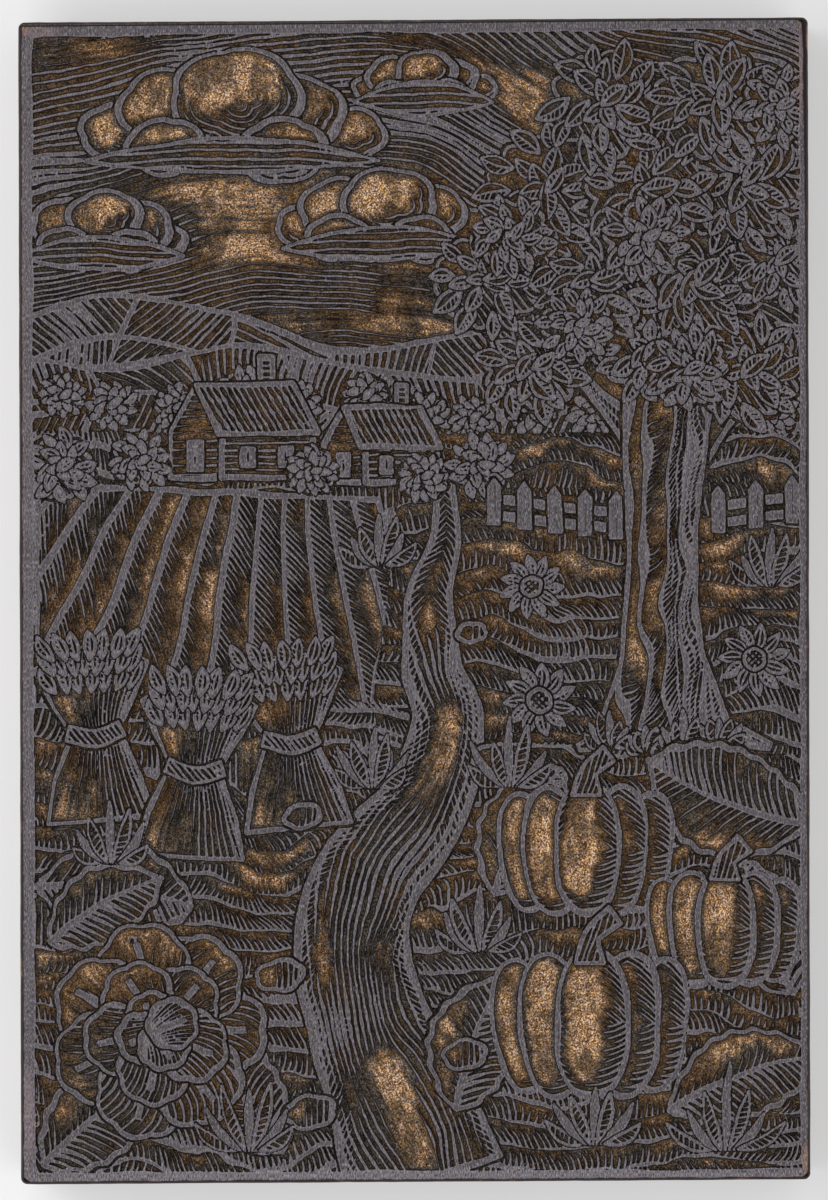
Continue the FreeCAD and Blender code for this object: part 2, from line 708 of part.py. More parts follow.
def make_screw():
    """A slotted countersunk wood screw, head down, with a plain blunt shank."""
    body = new_body("back_screw")
    sketch = new_sketch(body, "XZ_Plane", "screw_profile")
    head, shank = "sizes.screw_head_diameter / 2", "sizes.screw_diameter / 2"
    foot = "sizes.screw_sink"
    tip = "sizes.type_height - sizes.screw_cover - sizes.screw_hole_spare"
    wide, slim = size("screw_head_diameter") / 2, size("screw_diameter") / 2
    start, end = size("screw_sink"), size("type_height") - size("screw_cover") - size("screw_hole_spare")
    rough = [(0, start), (wide, start), (slim, start + wide - slim), (slim, end), (0, end)]
    profile = [
        ("0", foot),
        (head, foot),
        (shank, f"{foot} + {head} - {shank}"),
        (shank, tip),
        ("0", tip),
    ]
    draw_polygon(sketch, profile, rough)
    turned = add_feature(body, "Revolution", "screw_turned", Profile=sketch, Angle=360)
    turned.ReferenceAxis = (sketch, ["V_Axis"])
    document.recompute()
    slot = new_sketch(body, "XY_Plane", "slot_outline", foot)
    corners = [(f"{a} * {head}", f"{u} * sizes.screw_slot_width / 2") for a, u in turns_round]
    draw_polygon(slot, corners, [(a * wide, u * size("screw_slot_width") / 2) for a, u in turns_round])
    cut_pocket(body, slot, "screw_slot", "sizes.screw_slot_depth", True)
    return body


def place_copies(name, body, places, foot, turns):
    """A node that holds a copy of the body at each place, turned about its own axis."""
    group = document.addObject("Part::Feature", name)
    copies = []
    for (_, _, place), turn in zip(places, turns):
        copy = body.Shape.copy()
        copy.rotate(Vector(), Vector(0, 0, 1), turn)
        copy.translate(Vector(*place, foot))
        copies.append(copy)
    group.Shape = Part.makeCompound(copies)
    return group


def make_fasteners():
    dowel = make_round_bar("register_dowel", "sizes.dowel_diameter", "sizes.dowel_length")
    dowel_top = size("type_height") - size("face_thickness") + size("dowel_in_face")
    peg_length = f"{mount_height} - sizes.peg_cover - sizes.peg_hole_spare"
    peg = make_round_bar("key_peg", "sizes.peg_diameter", peg_length)
    return [
        place_copies("register_dowels", dowel, dowel_places, dowel_top - size("dowel_length"), (0, 0)),
        place_copies("key_pegs", peg, peg_places, 0, (0, 0)),
        place_copies("back_screws", make_screw(), screw_places, 0, screw_slot_turns),
    ]


def export_nodes(nodes):
    """Writes each sub-part, once every object of the document has proved sound."""
    document.recompute()
    for item in document.Objects:
        if "Invalid" in item.State or "Error" in item.State:
            raise RuntimeError(f"{item.Label} failed: {item.State}")
    for node in nodes:
        if node.Shape.isNull() or not node.Shape.isValid():
            raise RuntimeError(f"{node.Label} has no valid shape")
    os.makedirs("parts", exist_ok=True)
    for node in nodes:
        node.Shape.exportStep(f"parts/{node.Label}.step")
        box = node.Shape.BoundBox
        print(f"{node.Label}: {len(node.Shape.Solids)} solids, {node.Shape.Volume:.0f} mm3,",
              f"{box.XLength:.2f} x {box.YLength:.2f} x {box.ZLength:.2f} mm")


boards = [make_face_board(), make_mount()]
keys = [make_key(name, sign) for name, sign in key_signs.items()]
export_nodes(boards + keys + make_fasteners())
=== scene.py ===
"""The looks of a carved wooden printing block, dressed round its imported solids.

The printing face is cut as a field: the distance inside the raised wood at each point of a fine
grid. Shapes are laid over one another in it, and the field then becomes the carved mesh.
Plane coordinates in the carving are complex numbers, in millimetres.
"""
import math
import bpy
import numpy as np
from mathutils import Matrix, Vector


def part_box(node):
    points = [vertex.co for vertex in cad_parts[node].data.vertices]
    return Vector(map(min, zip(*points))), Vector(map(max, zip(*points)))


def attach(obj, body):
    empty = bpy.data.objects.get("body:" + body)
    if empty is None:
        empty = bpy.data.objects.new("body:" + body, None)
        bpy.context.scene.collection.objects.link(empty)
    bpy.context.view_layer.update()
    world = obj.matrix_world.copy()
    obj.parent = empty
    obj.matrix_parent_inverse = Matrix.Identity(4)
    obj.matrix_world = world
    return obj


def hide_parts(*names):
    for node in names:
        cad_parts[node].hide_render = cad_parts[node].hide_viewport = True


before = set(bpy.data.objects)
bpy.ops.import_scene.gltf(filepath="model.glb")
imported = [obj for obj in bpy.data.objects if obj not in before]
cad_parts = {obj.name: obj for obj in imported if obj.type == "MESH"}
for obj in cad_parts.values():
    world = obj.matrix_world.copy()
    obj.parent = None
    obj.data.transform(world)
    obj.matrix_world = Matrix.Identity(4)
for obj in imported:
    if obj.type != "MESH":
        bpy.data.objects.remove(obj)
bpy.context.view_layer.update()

# The block's measures and its carving's are in millimetres, and the carved light's in degrees.
MM = 0.001
face_low, face_high = (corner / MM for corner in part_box("face_board"))
SKEW = 0.46
HALF_WIDTH = face_high.x
HALF_LENGTH = face_high.y - SKEW / 2
TOP, FACE_FOOT = face_high.z, face_low.z
LEFT_RIM, RIGHT_RIM, HEAD_RIM, FOOT_RIM = 2.0, 1.3, 1.35, 1.9
ARRIS = 0.3
CORNER = 0.9
CARVED_LIGHT = 125.0
UNCARVED = -3.0
GRID_STEP = 0.15
CLEAR_DEPTH = 1.9
WALL_REACH = 0.80


def fade(value):
    """A smooth step from 0 to 1."""
    value = np.clip(value, 0, 1)
    return value * value * (3 - 2 * value)


def hashed(i, j=0, seed=0):
    """A repeatable number from 0 to 1 for whole numbers."""
    value = np.sin(i * 127.1 + j * 311.7 + seed * 74.7) * 43758.5453
    return value - np.floor(value)


def ripple(x, y, pitch, seed=0):
    """Smooth noise from -1 to 1, whose bumps are about a pitch apart."""
    x, y = x / pitch, y / pitch
    i, j = np.floor(x), np.floor(y)
    a, b = fade(x - i), fade(y - j)
    low = hashed(i, j, seed) * (1 - a) + hashed(i + 1, j, seed) * a
    high = hashed(i, j + 1, seed) * (1 - a) + hashed(i + 1, j + 1, seed) * a
    return 2 * (low * (1 - b) + high * b) - 1


def strokes(across, along, tone, pitch, seed, scale=1.0):
    """Raised parallel lines, as broad as the tone asks, which taper and sink where it fades."""
    phase = across / pitch + 0.22 * ripple(along, across, 9.0, seed)
    phase = phase + 0.06 * ripple(along, across, 1.6, seed + 1)
    index = np.floor(phase)
    aside = np.abs(phase - index - 0.5 - 0.22 * (hashed(index, 3, seed) - 0.5)) * pitch * scale
    reach = tone + 0.36 * (hashed(index, 7, seed) - 0.5) + 0.12 * ripple(along, index * 5.3, 2.6, seed)
    broad = (0.105 + 0.24 * fade(reach - 0.40)) * (0.78 + 0.40 * hashed(index, 11, seed))
    broad = broad * (1 + 0.26 * ripple(along, index * 3.7, 1.1, seed + 2))
    tapered = np.minimum(broad, 0.46) * fade(reach / 0.34 + 0.06)
    half = pitch * scale * np.where(reach > 0, tapered, 1.6 * reach - 0.02)
    return half - aside


def combed(across, along, tone, pitch, comb, seed, scale=1.0, slant=0.6, line=0.6):
    """Folds: a contour line at each pitch, with a comb of strokes that hangs from it and fades."""
    phase = across / pitch + 0.25 * ripple(along, across, 14.0, seed)
    index = np.floor(phase)
    share = phase - index
    own = hashed(index, 5, seed)
    deep = share * pitch * scale
    rim = (0.5 + own) * line / 2 - np.minimum(share, 1 - share) * pitch * scale
    shade = tone + 0.62 - (1.0 + 0.5 * own) * share + 0.30 * ripple(along, index * 3.1, 6.0, seed + 2)
    teeth = strokes(along + slant * deep + 0.05 * deep ** 2 + 7.3 * index, deep, shade, comb, seed + 3)
    return np.maximum(rim, teeth)


def unit(degrees):
    """A step of one millimetre in a direction."""
    return complex(math.cos(math.radians(degrees)), math.sin(math.radians(degrees)))


def turned(x, y, centre, degrees):
    """Coordinates ahead and to the left of a place, in a direction."""
    ahead = unit(degrees)
    dx, dy = x - centre.real, y - centre.imag
    return dx * ahead.real + dy * ahead.imag, dy * ahead.real - dx * ahead.imag


def lens(x, y, centre, length, width, degrees, bow=0.0, blunt=1.0):
    """A pointed oval: its depth inside, and the coordinates along it and across it."""
    along, aside = turned(x, y, centre, degrees)
    t = along / (length / 2)
    aside = aside - bow * length * (1 - np.minimum(t * t, 4.0))
    inner = np.clip(1 - t * t, 0, 1)
    profile = width / 2 * inner ** blunt
    slope = 1 + (2 * width / length) ** 2 * np.minimum(t * t, 1)
    depth = (profile - np.abs(aside)) / np.sqrt(slope)
    beyond = np.maximum(np.abs(along) - length / 2, 0)
    return np.where(beyond > 0, -np.hypot(beyond, aside), depth), along, aside


def outline_depth(x, y, outline):
    """The distance inside a closed outline, negative outside."""
    inside = np.zeros(x.shape, bool)
    nearest = np.full(x.shape, 1e9, np.float32)
    for start, end in zip(outline, np.roll(outline, -1)):
        dx, dy = end.real - start.real, end.imag - start.imag
        px, py = x - start.real, y - start.imag
        share = np.clip((px * dx + py * dy) / max(dx * dx + dy * dy, 1e-9), 0, 1)
        nearest = np.minimum(nearest, (px - share * dx) ** 2 + (py - share * dy) ** 2)
        if dy:
            inside ^= ((start.imag > y) != (end.imag > y)) & (px < dx * py / dy)
    return np.sqrt(nearest) * np.where(inside, 1, -1)


def scalloped(centre, width, height, lobes, bulge, start=0.0, degrees=0.0):
    """A closed outline of round lobes."""
    angle = np.linspace(0, 2 * np.pi, lobes * 7, endpoint=False)
    swell = 1 + bulge * (np.abs(np.sin((angle + start) * lobes / 2)) - 0.64)
    points = swell * (np.cos(angle) * width / 2 + 1j * np.sin(angle) * height / 2)
    return centre + points * np.exp(1j * math.radians(degrees))


def smooth_path(points, count):
    """Evenly counted places on a smooth line through points (Catmull-Rom)."""
    points = np.asarray(points, complex)
    ends = np.concatenate([[2 * points[0] - points[1]], points, [2 * points[-1] - points[-2]]])
    t = np.linspace(0, len(points) - 1, count)
    i = np.minimum(t.astype(int), len(points) - 2)
    t = t - i
    p0, p1, p2, p3 = ends[i], ends[i + 1], ends[i + 2], ends[i + 3]
    return 0.5 * (2 * p1 + (p2 - p0) * t + (2 * p0 - 5 * p1 + 4 * p2 - p3) * t ** 2
                  + (3 * p1 - p0 - 3 * p2 + p3) * t ** 3)


def ribbon(points, widths, count=28):
    """The closed outline of a band along a smooth line, with a width at each of its points."""
    middle = smooth_path(points, count)
    half = np.interp(np.linspace(0, 1, count), np.linspace(0, 1, len(widths)), widths) / 2
    ahead = np.gradient(middle)
    left = 1j * ahead / np.abs(ahead)
    return np.concatenate([middle + left * half, (middle - left * half)[::-1]]), middle


class Relief:
    """The carved face as a field: the distance inside the raised wood, negative in a cut."""

    def __init__(self, step):
        columns = int(round(2 * (HALF_WIDTH - ARRIS) / step))
        rows = int(round(2 * (HALF_LENGTH - ARRIS) / step))
        x = np.linspace(-HALF_WIDTH + ARRIS, HALF_WIDTH - ARRIS, columns + 1)
        y = np.linspace(-HALF_LENGTH + ARRIS, HALF_LENGTH - ARRIS, rows + 1)
        self.x, self.flat_y = np.meshgrid(x, y)
        self.y = self.flat_y + self.x * SKEW / (2 * HALF_WIDTH)
        self.step = step
        self.cut_x = (self.x + self.wander(1)).astype(np.float32)
        self.cut_y = (self.flat_y + self.wander(3)).astype(np.float32)
        self.field = np.full(self.x.shape, UNCARVED, np.float32)

    def wander(self, seed):
        """How far the hand strays from each line."""
        slow, quick = (ripple(self.x, self.flat_y, pitch, seed + k) for k, pitch in enumerate((5.0, 0.9)))
        return 0.20 * slow + 0.06 * quick

    def spot(self, across, up):
        """A place in the picture, by shares of its half width and half length."""
        x = (LEFT_RIM - RIGHT_RIM) / 2 + across * (HALF_WIDTH - (LEFT_RIM + RIGHT_RIM) / 2)
        y = (FOOT_RIM - HEAD_RIM) / 2 + up * (HALF_LENGTH - (FOOT_RIM + HEAD_RIM) / 2)
        return complex(x, y)

    def spots(self, places):
        return np.array([self.spot(*place) for place in places])

    def window(self, low, high, margin=1.5):
        """The part of the field between two corners, and its coordinates."""
        left, foot = self.x[0, 0], self.flat_y[0, 0]
        rows, columns = self.field.shape
        i0 = min(max(int((low.real - margin - left) / self.step), 0), columns - 1)
        i1 = min(max(int((high.real + margin - left) / self.step) + 2, i0 + 1), columns)
        j0 = min(max(int((low.imag - margin - foot) / self.step), 0), rows - 1)
        j1 = min(max(int((high.imag + margin - foot) / self.step) + 2, j0 + 1), rows)
        part = (slice(j0, j1), slice(i0, i1))
        return part, self.cut_x[part], self.cut_y[part]

    def around(self, centre, radius):
        return self.window(centre - complex(radius, radius), centre + complex(radius, radius))

    def inside(self, outline):
        """The part of the field round a closed outline, and the depth inside it."""
        low = complex(outline.real.min(), outline.imag.min())
        high = complex(outline.real.max(), outline.imag.max())
        part, x, y = self.window(low, high)
        return part, x, y, outline_depth(x, y, outline)

    def lay(self, part, depth, pattern, line, gap=0.0):
        """Lays a shape over what is there: its pattern, a contour line and a cut round it."""
        old = self.field[part]
        line = 0.80 * line * (1 + 0.46 * ripple(self.x[part], self.flat_y[part], 5.5, 6))
        edge = line / 2 - np.abs(depth)
        new = np.where(depth > 0, np.maximum(pattern, edge), edge)
        outside = depth < -line / 2
        if gap:
            old = np.minimum(old, -depth - line / 2 - gap)
        self.field[part] = np.where(outside, old, new)

    def gouge(self, centre, length, width, degrees, bow=0.0):
        """One tapered cut of the gouge."""
        part, x, y = self.around(centre, length / 2 + 1)
        depth, _, _ = lens(x, y, centre, length, width, degrees, bow)
        self.field[part] = np.minimum(self.field[part], -depth)


# Motifs.

def carve_each(relief, carve, places):
    """Carves one kind of motif at each place: across, up and the motif's own measures."""
    for across, up, *measures in places:
        carve(relief, relief.spot(across, up), *measures)


def carve_sky(relief):
    """Sweeping strokes of wind: broad flats with thin cuts at the head, finer and clearer below."""
    part, x, y = relief.window(relief.spot(-1.05, 0.38), relief.spot(1.05, 1.05))
    swirl = 5.0 * ripple(x, y * 1.6, 26.0, 11) + 1.4 * ripple(x, y * 1.6, 11.0, 12)
    sweep = y + 0.0042 * (x + 20) ** 2 + swirl
    height = (y - relief.spot(0, 0.40).imag) / 50
    tone = 0.22 + 0.62 * height + 0.65 * ripple(x * 0.34, sweep * 1.1, 6.0, 12)
    tone = tone + 0.20 * ripple(x, y, 3.5, 13)
    tone -= 0.75 * fade(ripple(x * 0.55, sweep, 13.0, 14) * 1.6 - 0.2)
    relief.field[part] = strokes(sweep, x, np.clip(tone, -0.3, 1.2), 1.0, 5)


def carve_cloud(relief, centre, width, height, seed):
    """Banked puffs of cloud, each clear above, with curls that follow its shaded rim."""
    puffs = ((-0.44, -0.04, 0.26), (0.46, -0.08, 0.24), (-0.24, 0.20, 0.38), (0.24, 0.14, 0.38),
             (0.02, 0.30, 0.44), (-0.26, -0.20, 0.28), (0.20, -0.24, 0.30))
    for index, (across, up, share) in enumerate(puffs):
        place = centre + complex(across * width, up * height)
        radius = share * height * (0.92 + 0.2 * hashed(index, 1, seed))
        part, x, y = relief.around(place, radius * 1.6)
        dx, dy = (x - place.real) / 1.35, y - place.imag
        angle = np.arctan2(dy, dx)
        rim = radius * (1 + 0.09 * np.abs(np.sin(angle * 2.5 + index + seed)))
        depth = rim - np.hypot(dx, dy)
        turn = np.cos(angle - math.radians(-62 + 30 * (hashed(index, 2, seed) - 0.5)))
        shade = 0.10 + 0.75 * turn - 0.95 * depth / radius
        curls = strokes(depth * 1.15 + 0.25 * angle, angle * radius, shade, 1.0, seed + index)
        relief.lay(part, depth, curls, 0.75, 0.3)
    foot = centre - 1j * height * 0.34
    part, x, y = relief.window(foot - complex(width * 0.62, 2.6), foot + complex(width * 0.62, 2.2))
    depth, along, aside = lens(x, y, foot, width * 1.15, 4.6, 0, 0.02)
    relief.lay(part, depth, strokes(aside, along, 0.45 - aside * 0.1, 1.05, seed + 20), 0.6, 0.2)


def carve_hill(relief, brow, tone, seed, pitch, fan):
    """Ground under a brow line: small fields cut in turned, bowed strokes, parted by hedges."""
    points = smooth_path(relief.spots(brow), 90)
    low = complex(points.real.min(), points.imag.min() - 26)
    part, x, y = relief.window(low, complex(points.real.max(), points.imag.max()), 1.0)
    order = np.argsort(points.real)
    top = np.interp(x, points.real[order], points.imag[order], left=-999, right=-999)
    slope = np.interp(x, points.real[order], np.gradient(points.imag[order], points.real[order]))
    drop = top - y
    depth = drop / np.sqrt(1 + slope ** 2)
    wide, deep = 14.0, 7.0
    column = (x + fan * drop + 2.2 * ripple(x, y, 12.0, seed)) / wide + hashed(seed) * 5
    row = (drop + 1.8 * ripple(x, y, 13.0, seed + 1)) / deep
    i, j = np.floor(column), np.floor(row)
    turn = np.radians(-70 + 140 * hashed(i, j, seed))
    broad = 0.22 + 0.26 * hashed(i, j, seed + 4)
    beside, beyond = np.minimum(column - i, i + 1 - column), np.minimum(row - j, j + 1 - row)
    hedge = broad - np.minimum(beside * wide, beyond * deep)
    across, along = x * np.cos(turn) + y * np.sin(turn), y * np.cos(turn) - x * np.sin(turn)
    across = across + (column - i - 0.5) * (row - j - 0.5) * 6 * (hashed(i, j, seed + 5) - 0.2)
    shade = tone - 0.30 + 0.55 * hashed(i, j, seed + 3) + 0.55 * ripple(x, y, 6.0, seed + 2)
    fields = strokes(across, along, shade, pitch, seed)
    relief.lay(part, depth, np.maximum(fields, hedge), 0.9)


def carve_grass(relief, corners, seed, tone):
    """Rows of short blades that lean and lengthen unevenly, thinning out over open ground."""
    outline = relief.spots(corners)
    part, x, y, depth = relief.inside(outline)
    up = y - outline[0].imag
    level = up / 3.4 + 0.9 * ripple(x, y, 10.0, seed) + 0.12 * ripple(x, y, 2.2, seed + 4)
    row = np.floor(level)
    rise = level - row
    sway = hashed(row, 5, seed) - 0.5 + 1.1 * ripple(x, row * 7.7, 10.0, seed + 5)
    lean = x + rise * (2.6 * sway + 1.0 * rise) + row * 0.77
    open_ground = ripple(x, y * 1.5, 11.0, seed + 7)
    shade = tone + 0.62 - 1.15 * rise + 0.35 * ripple(x + 9 * row, y, 4.5, seed + 2) - 0.45 * open_ground
    blades = strokes(lean, rise * 3.4, shade, 0.84, seed)
    broad = 0.12 + 0.20 * ripple(x, y, 4.0, seed + 6) - 0.35 * open_ground
    earth = broad - np.minimum(rise, 1 - rise) * 3.4
    pattern = np.maximum(blades, earth)
    relief.field[part] = np.where(depth > 0, pattern, relief.field[part])


def carve_field(relief):
    """Ploughed land whose ridges run to a far point, each combed down its shaded side."""
    corners = [(-0.99, -0.10), (-0.12, -0.21), (-0.06, 0.06), (-0.10, 0.175), (-0.99, 0.205)]
    outline = relief.spots(corners)
    part, x, y, depth = relief.inside(outline)
    goal = relief.spot(-0.35, 0.60)
    distance = np.hypot(x - goal.real, y - goal.imag)
    angle = np.arctan2(x - goal.real, goal.imag - y)
    reference = abs(goal - relief.spot(-0.5, 0.0))
    shade = 0.10 + 0.22 * ripple(x, y, 8.0, 22)
    ridges = combed(angle * reference, -distance, shade, 4.6, 0.95, 23, distance / reference, 0.9, 0.8)
    relief.lay(part, depth, ridges, 0.9)


def carve_cottage(relief, origin, width, seed):
    """A gabled cottage: lit end wall, boarded side wall, thatched roof and a chimney."""
    wall, gable, length, ridge = width * 0.34, width * 0.36, width * 0.64, width * 0.66
    far, eaves = gable + length, width * 0.03

    def face(points, pattern, line=0.8):
        outline = np.array([origin + complex(*point) for point in points])
        part, x, y, depth = relief.inside(outline)
        relief.lay(part, depth, pattern(x, y, depth), line, 0.35)

    def block(left, foot, right, top):
        return (left, foot), (right, foot), (right, top), (left, top)

    face(block(gable + length * 0.42, ridge * 0.90, gable + length * 0.56, ridge * 1.28),
         lambda x, y, depth: strokes(y, x, 0.75, 0.8, seed))
    face(((0, 0), (gable, 0), (gable, wall), (gable / 2, ridge), (0, wall)),
         lambda x, y, depth: strokes(
             y, x, 0.12 + (x - origin.real) / gable * 0.25 - depth * 0.12, 1.1, seed))
    face(block(gable, 0, far, wall), lambda x, y, depth: strokes(y, x, 0.55, 0.95, seed + 1))
    face(((gable - eaves, wall - eaves), (far + eaves, wall - eaves),
          (gable / 2 + length + eaves, ridge), (gable / 2, ridge)),
         lambda x, y, depth: strokes(x + 0.55 * (y - origin.imag), y,
                                     0.62 + 0.3 * np.cos((y - origin.imag) * 3.4), 0.95, seed + 2))
    for along, up, wide, high in (
            (0.12, 0.06, 0.10, 0.20), (0.50, 0.08, 0.09, 0.13), (0.76, 0.08, 0.09, 0.13)):
        face(block(along * width, up * width, (along + wide) * width, (up + high) * width),
             lambda x, y, depth: np.full(x.shape, 0.2), 0.5)
        middle = origin + complex((along + wide / 2) * width, (up + high / 2) * width)
        relief.gouge(middle, high * width * 0.9, 0.35, 90)


def carve_fence(relief, start, end, posts):
    """Two rails and their pointed posts."""
    across = math.degrees(math.atan2((end - start).imag, (end - start).real))
    for level in (1.3, 3.6):
        middle = (start + end) / 2 + 1j * level
        part, x, y = relief.around(middle, abs(end - start) / 2 + 1)
        along, aside = turned(x, y, middle, across)
        bar = np.minimum(0.55 - np.abs(aside), abs(end - start) / 2 - np.abs(along))
        relief.lay(part, bar, bar, 0.4, 0.4)
    for index in range(posts + 1):
        foot = start + (end - start) * index / posts
        outline = np.array([foot - 0.8, foot + 0.8, foot + 0.8 + 5.2j, foot + 6.3j, foot - 0.8 + 5.2j])
        part, x, y, depth = relief.inside(outline)
        relief.lay(part, depth, depth * 0 + 0.2 - 0.6 * (np.abs(x - foot.real - 0.15) < 0.12), 0.5, 0.4)


def carve_leafy(relief, centre, radius, seed):
    """A clump of foliage: leaves in rings, clear where the light falls and hatched in the shade."""
    outline = scalloped(centre, radius * 2.0, radius * 1.8, 11, 0.20, seed)
    part, x, y, depth = relief.inside(outline)
    along, aside = turned(x, y, centre, CARVED_LIGHT)
    away = -along / radius
    base = strokes(aside + 0.10 * along * aside / radius, along, 0.15 + 0.70 * away, 0.88, seed)
    relief.lay(part, depth, base, 0.6, 0.5)
    for ring, (share, count, size) in enumerate(((0.90, 11, 0.60), (0.55, 7, 0.60), (0.20, 4, 0.54))):
        for index in range(count):
            twist = hashed(index, ring, seed)
            angle = 360 * (index + 0.5 * ring + 0.6 * twist) / count
            reach = radius * share * (0.88 + 0.20 * twist)
            place = centre + reach * unit(angle)
            length = radius * size * (0.80 + 0.45 * hashed(index, ring + 4, seed))
            lean = angle + 50 * (hashed(index, ring + 9, seed) - 0.5) + 12
            shade = -unit(angle - CARVED_LIGHT).real * share + 0.5 * (twist - 0.5)
            carve_leaflet(relief, place, length, length * 0.46, lean, 0.55 * shade + 0.05, seed + index)


def carve_leaflet(relief, centre, length, width, degrees, shade, seed):
    """One small leaf: an outline and a midrib, with a comb of strokes on the halves in the shade."""
    part, x, y = relief.around(centre, length / 2 + 0.6)
    depth, along, aside = lens(x, y, centre, length, width, degrees, 0.05 * (1 - 2 * (seed % 2)))
    rib = 0.15 * (1 - 0.5 * fade(0.5 + along / length)) - np.abs(aside)
    comb = strokes(along - 0.7 * np.abs(aside), aside, shade + 0.5 * np.sign(aside), 0.74, seed)
    relief.lay(part, depth, np.maximum(rib, comb), 0.42, 0.26)


def carve_trunk(relief):
    """A forked trunk with bark lines, spreading into roots."""
    bough, root, trunk = (6.4, 4.6, 2.8, 1.0), (6.5, 3.2, 0.8), (13.0, 11.5, 9.2, 11.0, 19.0)
    for places, widths, seed in (
            (((0.60, 0.28), (0.50, 0.36), (0.34, 0.47), (0.22, 0.52)), bough, 31),
            (((0.66, 0.26), (0.70, 0.40), (0.78, 0.55), (0.80, 0.70)), bough, 32),
            (((0.64, 0.26), (0.60, 0.42), (0.52, 0.60), (0.50, 0.76)), bough, 33),
            (((0.69, 0.24), (0.80, 0.33), (0.93, 0.40), (0.97, 0.44)), bough, 34),
            (((0.60, -0.19), (0.52, -0.235), (0.42, -0.262)), root, 41),
            (((0.68, -0.19), (0.80, -0.235), (0.92, -0.262)), root, 42),
            (((0.64, -0.20), (0.645, -0.26), (0.62, -0.315)), root, 43),
            (((0.665, 0.43), (0.650, 0.28), (0.640, 0.08), (0.640, -0.10), (0.645, -0.240)), trunk, 37)):
        carve_wood(relief, relief.spots(places), widths, seed)
    carve_each(relief, carve_tuft, [
        (0.505, -0.262, 5.0, 50), (0.60, -0.272, 4.2, 60), (0.70, -0.270, 5.2, 70),
        (0.79, -0.262, 4.4, 79)])


def carve_wood(relief, points, widths, seed):
    """Bark: wavering plates along a limb, clear on the lit side and densely combed on the other."""
    outline, middle = ribbon(points, widths)
    part, x, y, depth = relief.inside(outline)
    along, aside, half = follow(x, y, middle, widths)
    share = aside / np.maximum(half, 0.3)
    wave = aside + 0.7 * ripple(along, aside * 2, 6.0, seed) + 0.4 * np.sin(along / 2.3 + aside)
    tone = 0.10 + 0.60 * share + 0.30 * ripple(along, aside, 5.0, seed)
    bark = combed(wave, along, tone - 0.15, 2.7, 0.82, seed, 1.0, 1.3, 0.62)
    fine = strokes(wave, along, tone, 0.85, seed + 5)
    relief.lay(part, depth, np.where(share > 0.25, np.maximum(bark, fine), bark), 0.9, 0.5)


def follow(x, y, middle, widths):
    """Coordinates along and across a smooth line, and half its width there."""
    best = np.full(x.shape, 1e9)
    along, aside = np.zeros(x.shape), np.zeros(x.shape)
    travelled = 0.0
    for start, end in zip(middle, middle[1:]):
        step = end - start
        ahead = step / abs(step)
        px, py = x - start.real, y - start.imag
        forward = px * ahead.real + py * ahead.imag
        left = py * ahead.real - px * ahead.imag
        over = np.maximum(np.maximum(-forward, forward - abs(step)), 0)
        distance = over ** 2 + left ** 2
        closer = distance < best
        best = np.where(closer, distance, best)
        along = np.where(closer, travelled + forward, along)
        aside = np.where(closer, left, aside)
        travelled += abs(step)
    share = np.clip(along / travelled, 0, 1)
    half = np.interp(share, np.linspace(0, 1, len(widths)), widths) / 2
    return along, aside, half


def carve_stream(relief):
    """Water: flowing strokes that part round clear shining reaches, combed from both banks."""
    course = [(0.075, 0.20), (0.075, 0.10), (0.03, 0.00), (0.04, -0.12), (0.08, -0.22), (0.02, -0.36),
              (-0.12, -0.48), (-0.17, -0.60), (-0.13, -0.74), (-0.06, -0.86), (0.02, -1.02)]
    widths = (2.0, 3.6, 6.0, 7.6, 9.5, 12.0, 14.5, 15.5, 16.5, 18.5, 22.0)
    points = relief.spots(course)
    outline, middle = ribbon(points, widths, 60)
    part, x, y, depth = relief.inside(outline)
    along, aside, half = follow(x, y, middle, widths)
    share = aside / half
    flow = aside + 0.9 * np.sin(along / 6.0 + share * 1.5) + 0.6 * ripple(along, aside * 2, 8.0, 51)
    shine = ripple(along / 2.2, aside * 0.9, 4.0, 52)
    tone = 0.20 + 0.30 * np.abs(share) ** 2 - 0.85 * shine
    water = strokes(flow, along, tone, 0.95, 53)
    inland = half - np.abs(aside)
    bank = strokes(along - 1.1 * np.abs(aside), inland, 0.75 - inland / 2.4, 1.0, 54)
    relief.lay(part, depth, np.maximum(water, bank), 1.1, 0.4)


def carve_stone(relief, centre, width, seed):
    """A rounded stone, hatched on its low right."""
    outline = scalloped(centre, width, width * 0.66, 5, 0.14, seed, 10)
    part, x, y, depth = relief.inside(outline)
    along, up = turned(x, y, centre, 20)
    shade = 0.25 + 1.3 * along / width - 1.5 * up / width - depth / width
    relief.lay(part, depth, strokes(along - 0.4 * up, up, shade, 0.85, seed), 0.7, 0.4)


